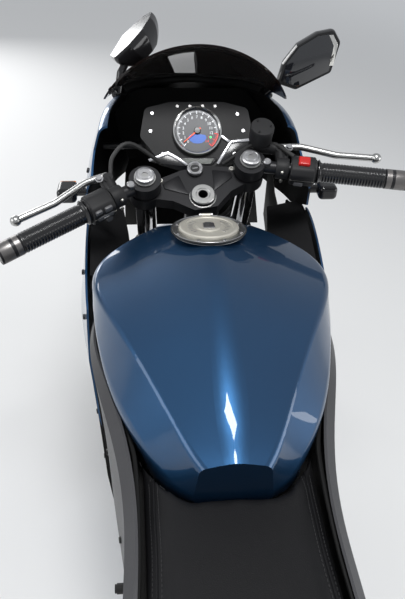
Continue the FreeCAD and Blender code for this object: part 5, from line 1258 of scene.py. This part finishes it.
# Lamps: a clear moulded headlamp lens on a black back, a red tail lens, and amber lenses clipped in
# the black cases of the turn signals.
clear_lens = finish("clear_lens", (0.75, 0.77, 0.8), roughness=(0.04, 0.08), Alpha=0.35)
clad(clear_lens, "headlamp")
lamp_body = frame["nodes"]["headlamp"]
lamp_body.data.materials.append(flat_black_and_gap_shade)
to_machine, LENS_FACES_AHEAD = machine.inverted().to_3x3(), 0.25
for face in lamp_body.data.polygons:
    if (to_machine @ face.normal).x < LENS_FACES_AHEAD:
        face.material_index = 1
red_lens = finish("red_lens", (0.4, 0.006, 0.006), roughness=(0.08, 0.14), Coat_Weight=0.5)
clad(red_lens, "tail_lamp")
amber_lens = finish("amber_lens", (0.75, 0.23, 0.02), roughness=(0.1, 0.2), Coat_Weight=0.6)
signals = bmesh.new()
for side in (1, -1):
    brick(signals, (463, side * 244 - 15, 859), (468, side * 244 + 15, 881), 4, 3)
    brick(signals, (-1004, side * 148 - 21, 709), (-999, side * 148 + 21, 735), 4, 3)
made("signal_lenses", signals, amber_lens, "chassis")

# Controls for the feet: turned pegs with rubber rings pushed over them, a rubber sleeve on each toe
# lever, and cast hangers bolted to the frame.
RIDER_RING = ((11, -3.6), (13, -3), (13, 3), (11, 3.6))
PASSENGER_RING = ((9, -3.2), (11.4, -2.8), (11.4, 2.8), (9, 3.2))
TOE_SLEEVE = ((8, -14), (9.6, -13), (9.6, 13), (8, 14))
peg_rubbers = bmesh.new()
for side in (1, -1):
    for number in range(7):
        lathe(peg_rubbers, (-214, side * (134 + number * 10), 345), (0, 1, 0), RIDER_RING, 20)
        lathe(peg_rubbers, (-452, side * (120 + number * 9.4), 442), (0, 1, 0), PASSENGER_RING, 20)
    lathe(peg_rubbers, (-26, side * 159, 304), (0, 1, 0), TOE_SLEEVE, 20)
made("peg_rubbers", peg_rubbers, rubber_hose, "chassis")
hanger_bolts = bmesh.new()
for side in (1, -1):
    for x, z in ((-170, 330), (-206, 480), (-226, 350)):
        screw(hanger_bolts, (x, side * 120, z), (0, side, 0), 5.5)
    for x, z in ((-376, 616), (-440, 470)):
        screw(hanger_bolts, (x, side * 108, z), (0, side, 0), 5.5)
made("hanger_bolts", hanger_bolts, zinc_steel, "chassis")

# Studio: a pale floor that fades far out into the tone of the air, so that no edge shows behind the
# machine from any side, and soft lamps above and beside it.
floor_paint = bpy.data.materials.new("pale_floor")
floor_paint.use_nodes = True
floor_shader = floor_paint.node_tree.nodes["Principled BSDF"]
floor_shader.inputs["Base Color"].default_value = (0.78, 0.78, 0.775, 1)
floor_shader.inputs["Roughness"].default_value = 0.75
AIR_TONE, AIR_STRENGTH = (0.9, 0.93, 0.97, 1), 0.55
FADE_START, FADE_END = 3.6, 10.0
floor_nodes, floor_links = floor_paint.node_tree.nodes, floor_paint.node_tree.links
from_middle = floor_nodes.new("ShaderNodeVectorMath")
from_middle.operation = "LENGTH"
floor_links.new(floor_nodes.new("ShaderNodeTexCoord").outputs["Object"], from_middle.inputs[0])
fade = floor_nodes.new("ShaderNodeMapRange")
fade.interpolation_type = "SMOOTHSTEP"
fade.inputs["From Min"].default_value = FADE_START
fade.inputs["From Max"].default_value = FADE_END
floor_links.new(from_middle.outputs["Value"], fade.inputs["Value"])
rays = floor_nodes.new("ShaderNodeLightPath")
seen = rays.outputs["Is Camera Ray"]
for ray in ("Is Glossy Ray", "Is Transmission Ray"):
    either = floor_nodes.new("ShaderNodeMath")
    either.operation = "MAXIMUM"
    floor_links.new(seen, either.inputs[0])
    floor_links.new(rays.outputs[ray], either.inputs[1])
    seen = either.outputs["Value"]
far_and_seen = floor_nodes.new("ShaderNodeMath")
far_and_seen.operation = "MULTIPLY"
floor_links.new(fade.outputs["Result"], far_and_seen.inputs[0])
floor_links.new(seen, far_and_seen.inputs[1])
haze = floor_nodes.new("ShaderNodeEmission")
haze.inputs["Color"].default_value = AIR_TONE
haze.inputs["Strength"].default_value = AIR_STRENGTH
faded = floor_nodes.new("ShaderNodeMixShader")
floor_links.new(far_and_seen.outputs["Value"], faded.inputs["Fac"])
floor_links.new(floor_shader.outputs["BSDF"], faded.inputs[1])
floor_links.new(haze.outputs["Emission"], faded.inputs[2])
floor_links.new(faded.outputs["Shader"], floor_nodes["Material Output"].inputs["Surface"])
FLOOR_REACH = 60.0
floor_mesh = bmesh.new()
bmesh.ops.create_grid(floor_mesh, x_segments=2, y_segments=2, size=FLOOR_REACH)
floor_data = bpy.data.meshes.new("studio_floor")
floor_mesh.to_mesh(floor_data)
floor_mesh.free()
floor_data.materials.append(floor_paint)
floor = bpy.data.objects.new("studio_floor", floor_data)
bpy.context.scene.collection.objects.link(floor)

world = bpy.data.worlds.new("studio_air")
bpy.context.scene.world = world
world.use_nodes = True
world.node_tree.nodes["Background"].inputs["Color"].default_value = AIR_TONE
world.node_tree.nodes["Background"].inputs["Strength"].default_value = AIR_STRENGTH


def soft_lamp(name, place, aim, size, power):
    """Broad lamp at a place, turned towards an aim, in metres and watts."""
    data = bpy.data.lights.new(name, "AREA")
    data.shape = "RECTANGLE"
    data.size, data.size_y = size
    data.energy = power
    lamp = bpy.data.objects.new(name, data)
    lamp.location = place
    lamp.rotation_euler = (Vector(aim) - Vector(place)).to_track_quat("-Z", "Y").to_euler()
    bpy.context.scene.collection.objects.link(lamp)


soft_lamp("overhead_lamp", (-0.3, 0.3, 3.1), (0, 0, 0.7), (0.9, 0.5), 46)
soft_lamp("front_lamp", (3.4, 1.9, 1.2), (0, 0, 0.8), (1.8, 1.2), 40)
soft_lamp("left_lamp", (-0.6, 3.6, 1.6), (0, 0, 0.6), (2.6, 1.6), 42)
soft_lamp("right_lamp", (-0.6, -3.6, 1.6), (0, 0, 0.6), (2.6, 1.6), 42)

# Camera: the rider's eye over the seat, looking down the tank to the instruments. Its place, turn
# and lens are those that fit the photograph's outlines.
EYE = (-0.55398, 0.08649, 1.408)
YAW, PITCH, ROLL = (math.radians(angle) for angle in (-5.77, 38.68, -2.04))
LENS_PIXELS, LONG_SIDE, SENSOR = 592.68, 599, 36.0
gaze = Vector((math.cos(YAW) * math.cos(PITCH), math.sin(YAW) * math.cos(PITCH), -math.sin(PITCH)))
right = Vector((math.sin(YAW), -math.cos(YAW), 0))
right = Matrix.Rotation(ROLL, 3, gaze) @ right
over = right.cross(gaze)
camera_data = bpy.data.cameras.new("rider_eye")
camera_data.sensor_width = SENSOR
camera_data.sensor_fit = "AUTO"
camera_data.lens = SENSOR * LENS_PIXELS / LONG_SIDE
camera = bpy.data.objects.new("rider_eye", camera_data)
seen_from = Matrix.Translation(EYE) @ Matrix((right, over, -gaze)).transposed().to_4x4()
camera.matrix_world = machine @ seen_from
bpy.context.scene.collection.objects.link(camera)
bpy.context.scene.camera = camera
bpy.context.scene.view_settings.view_transform = "Standard"
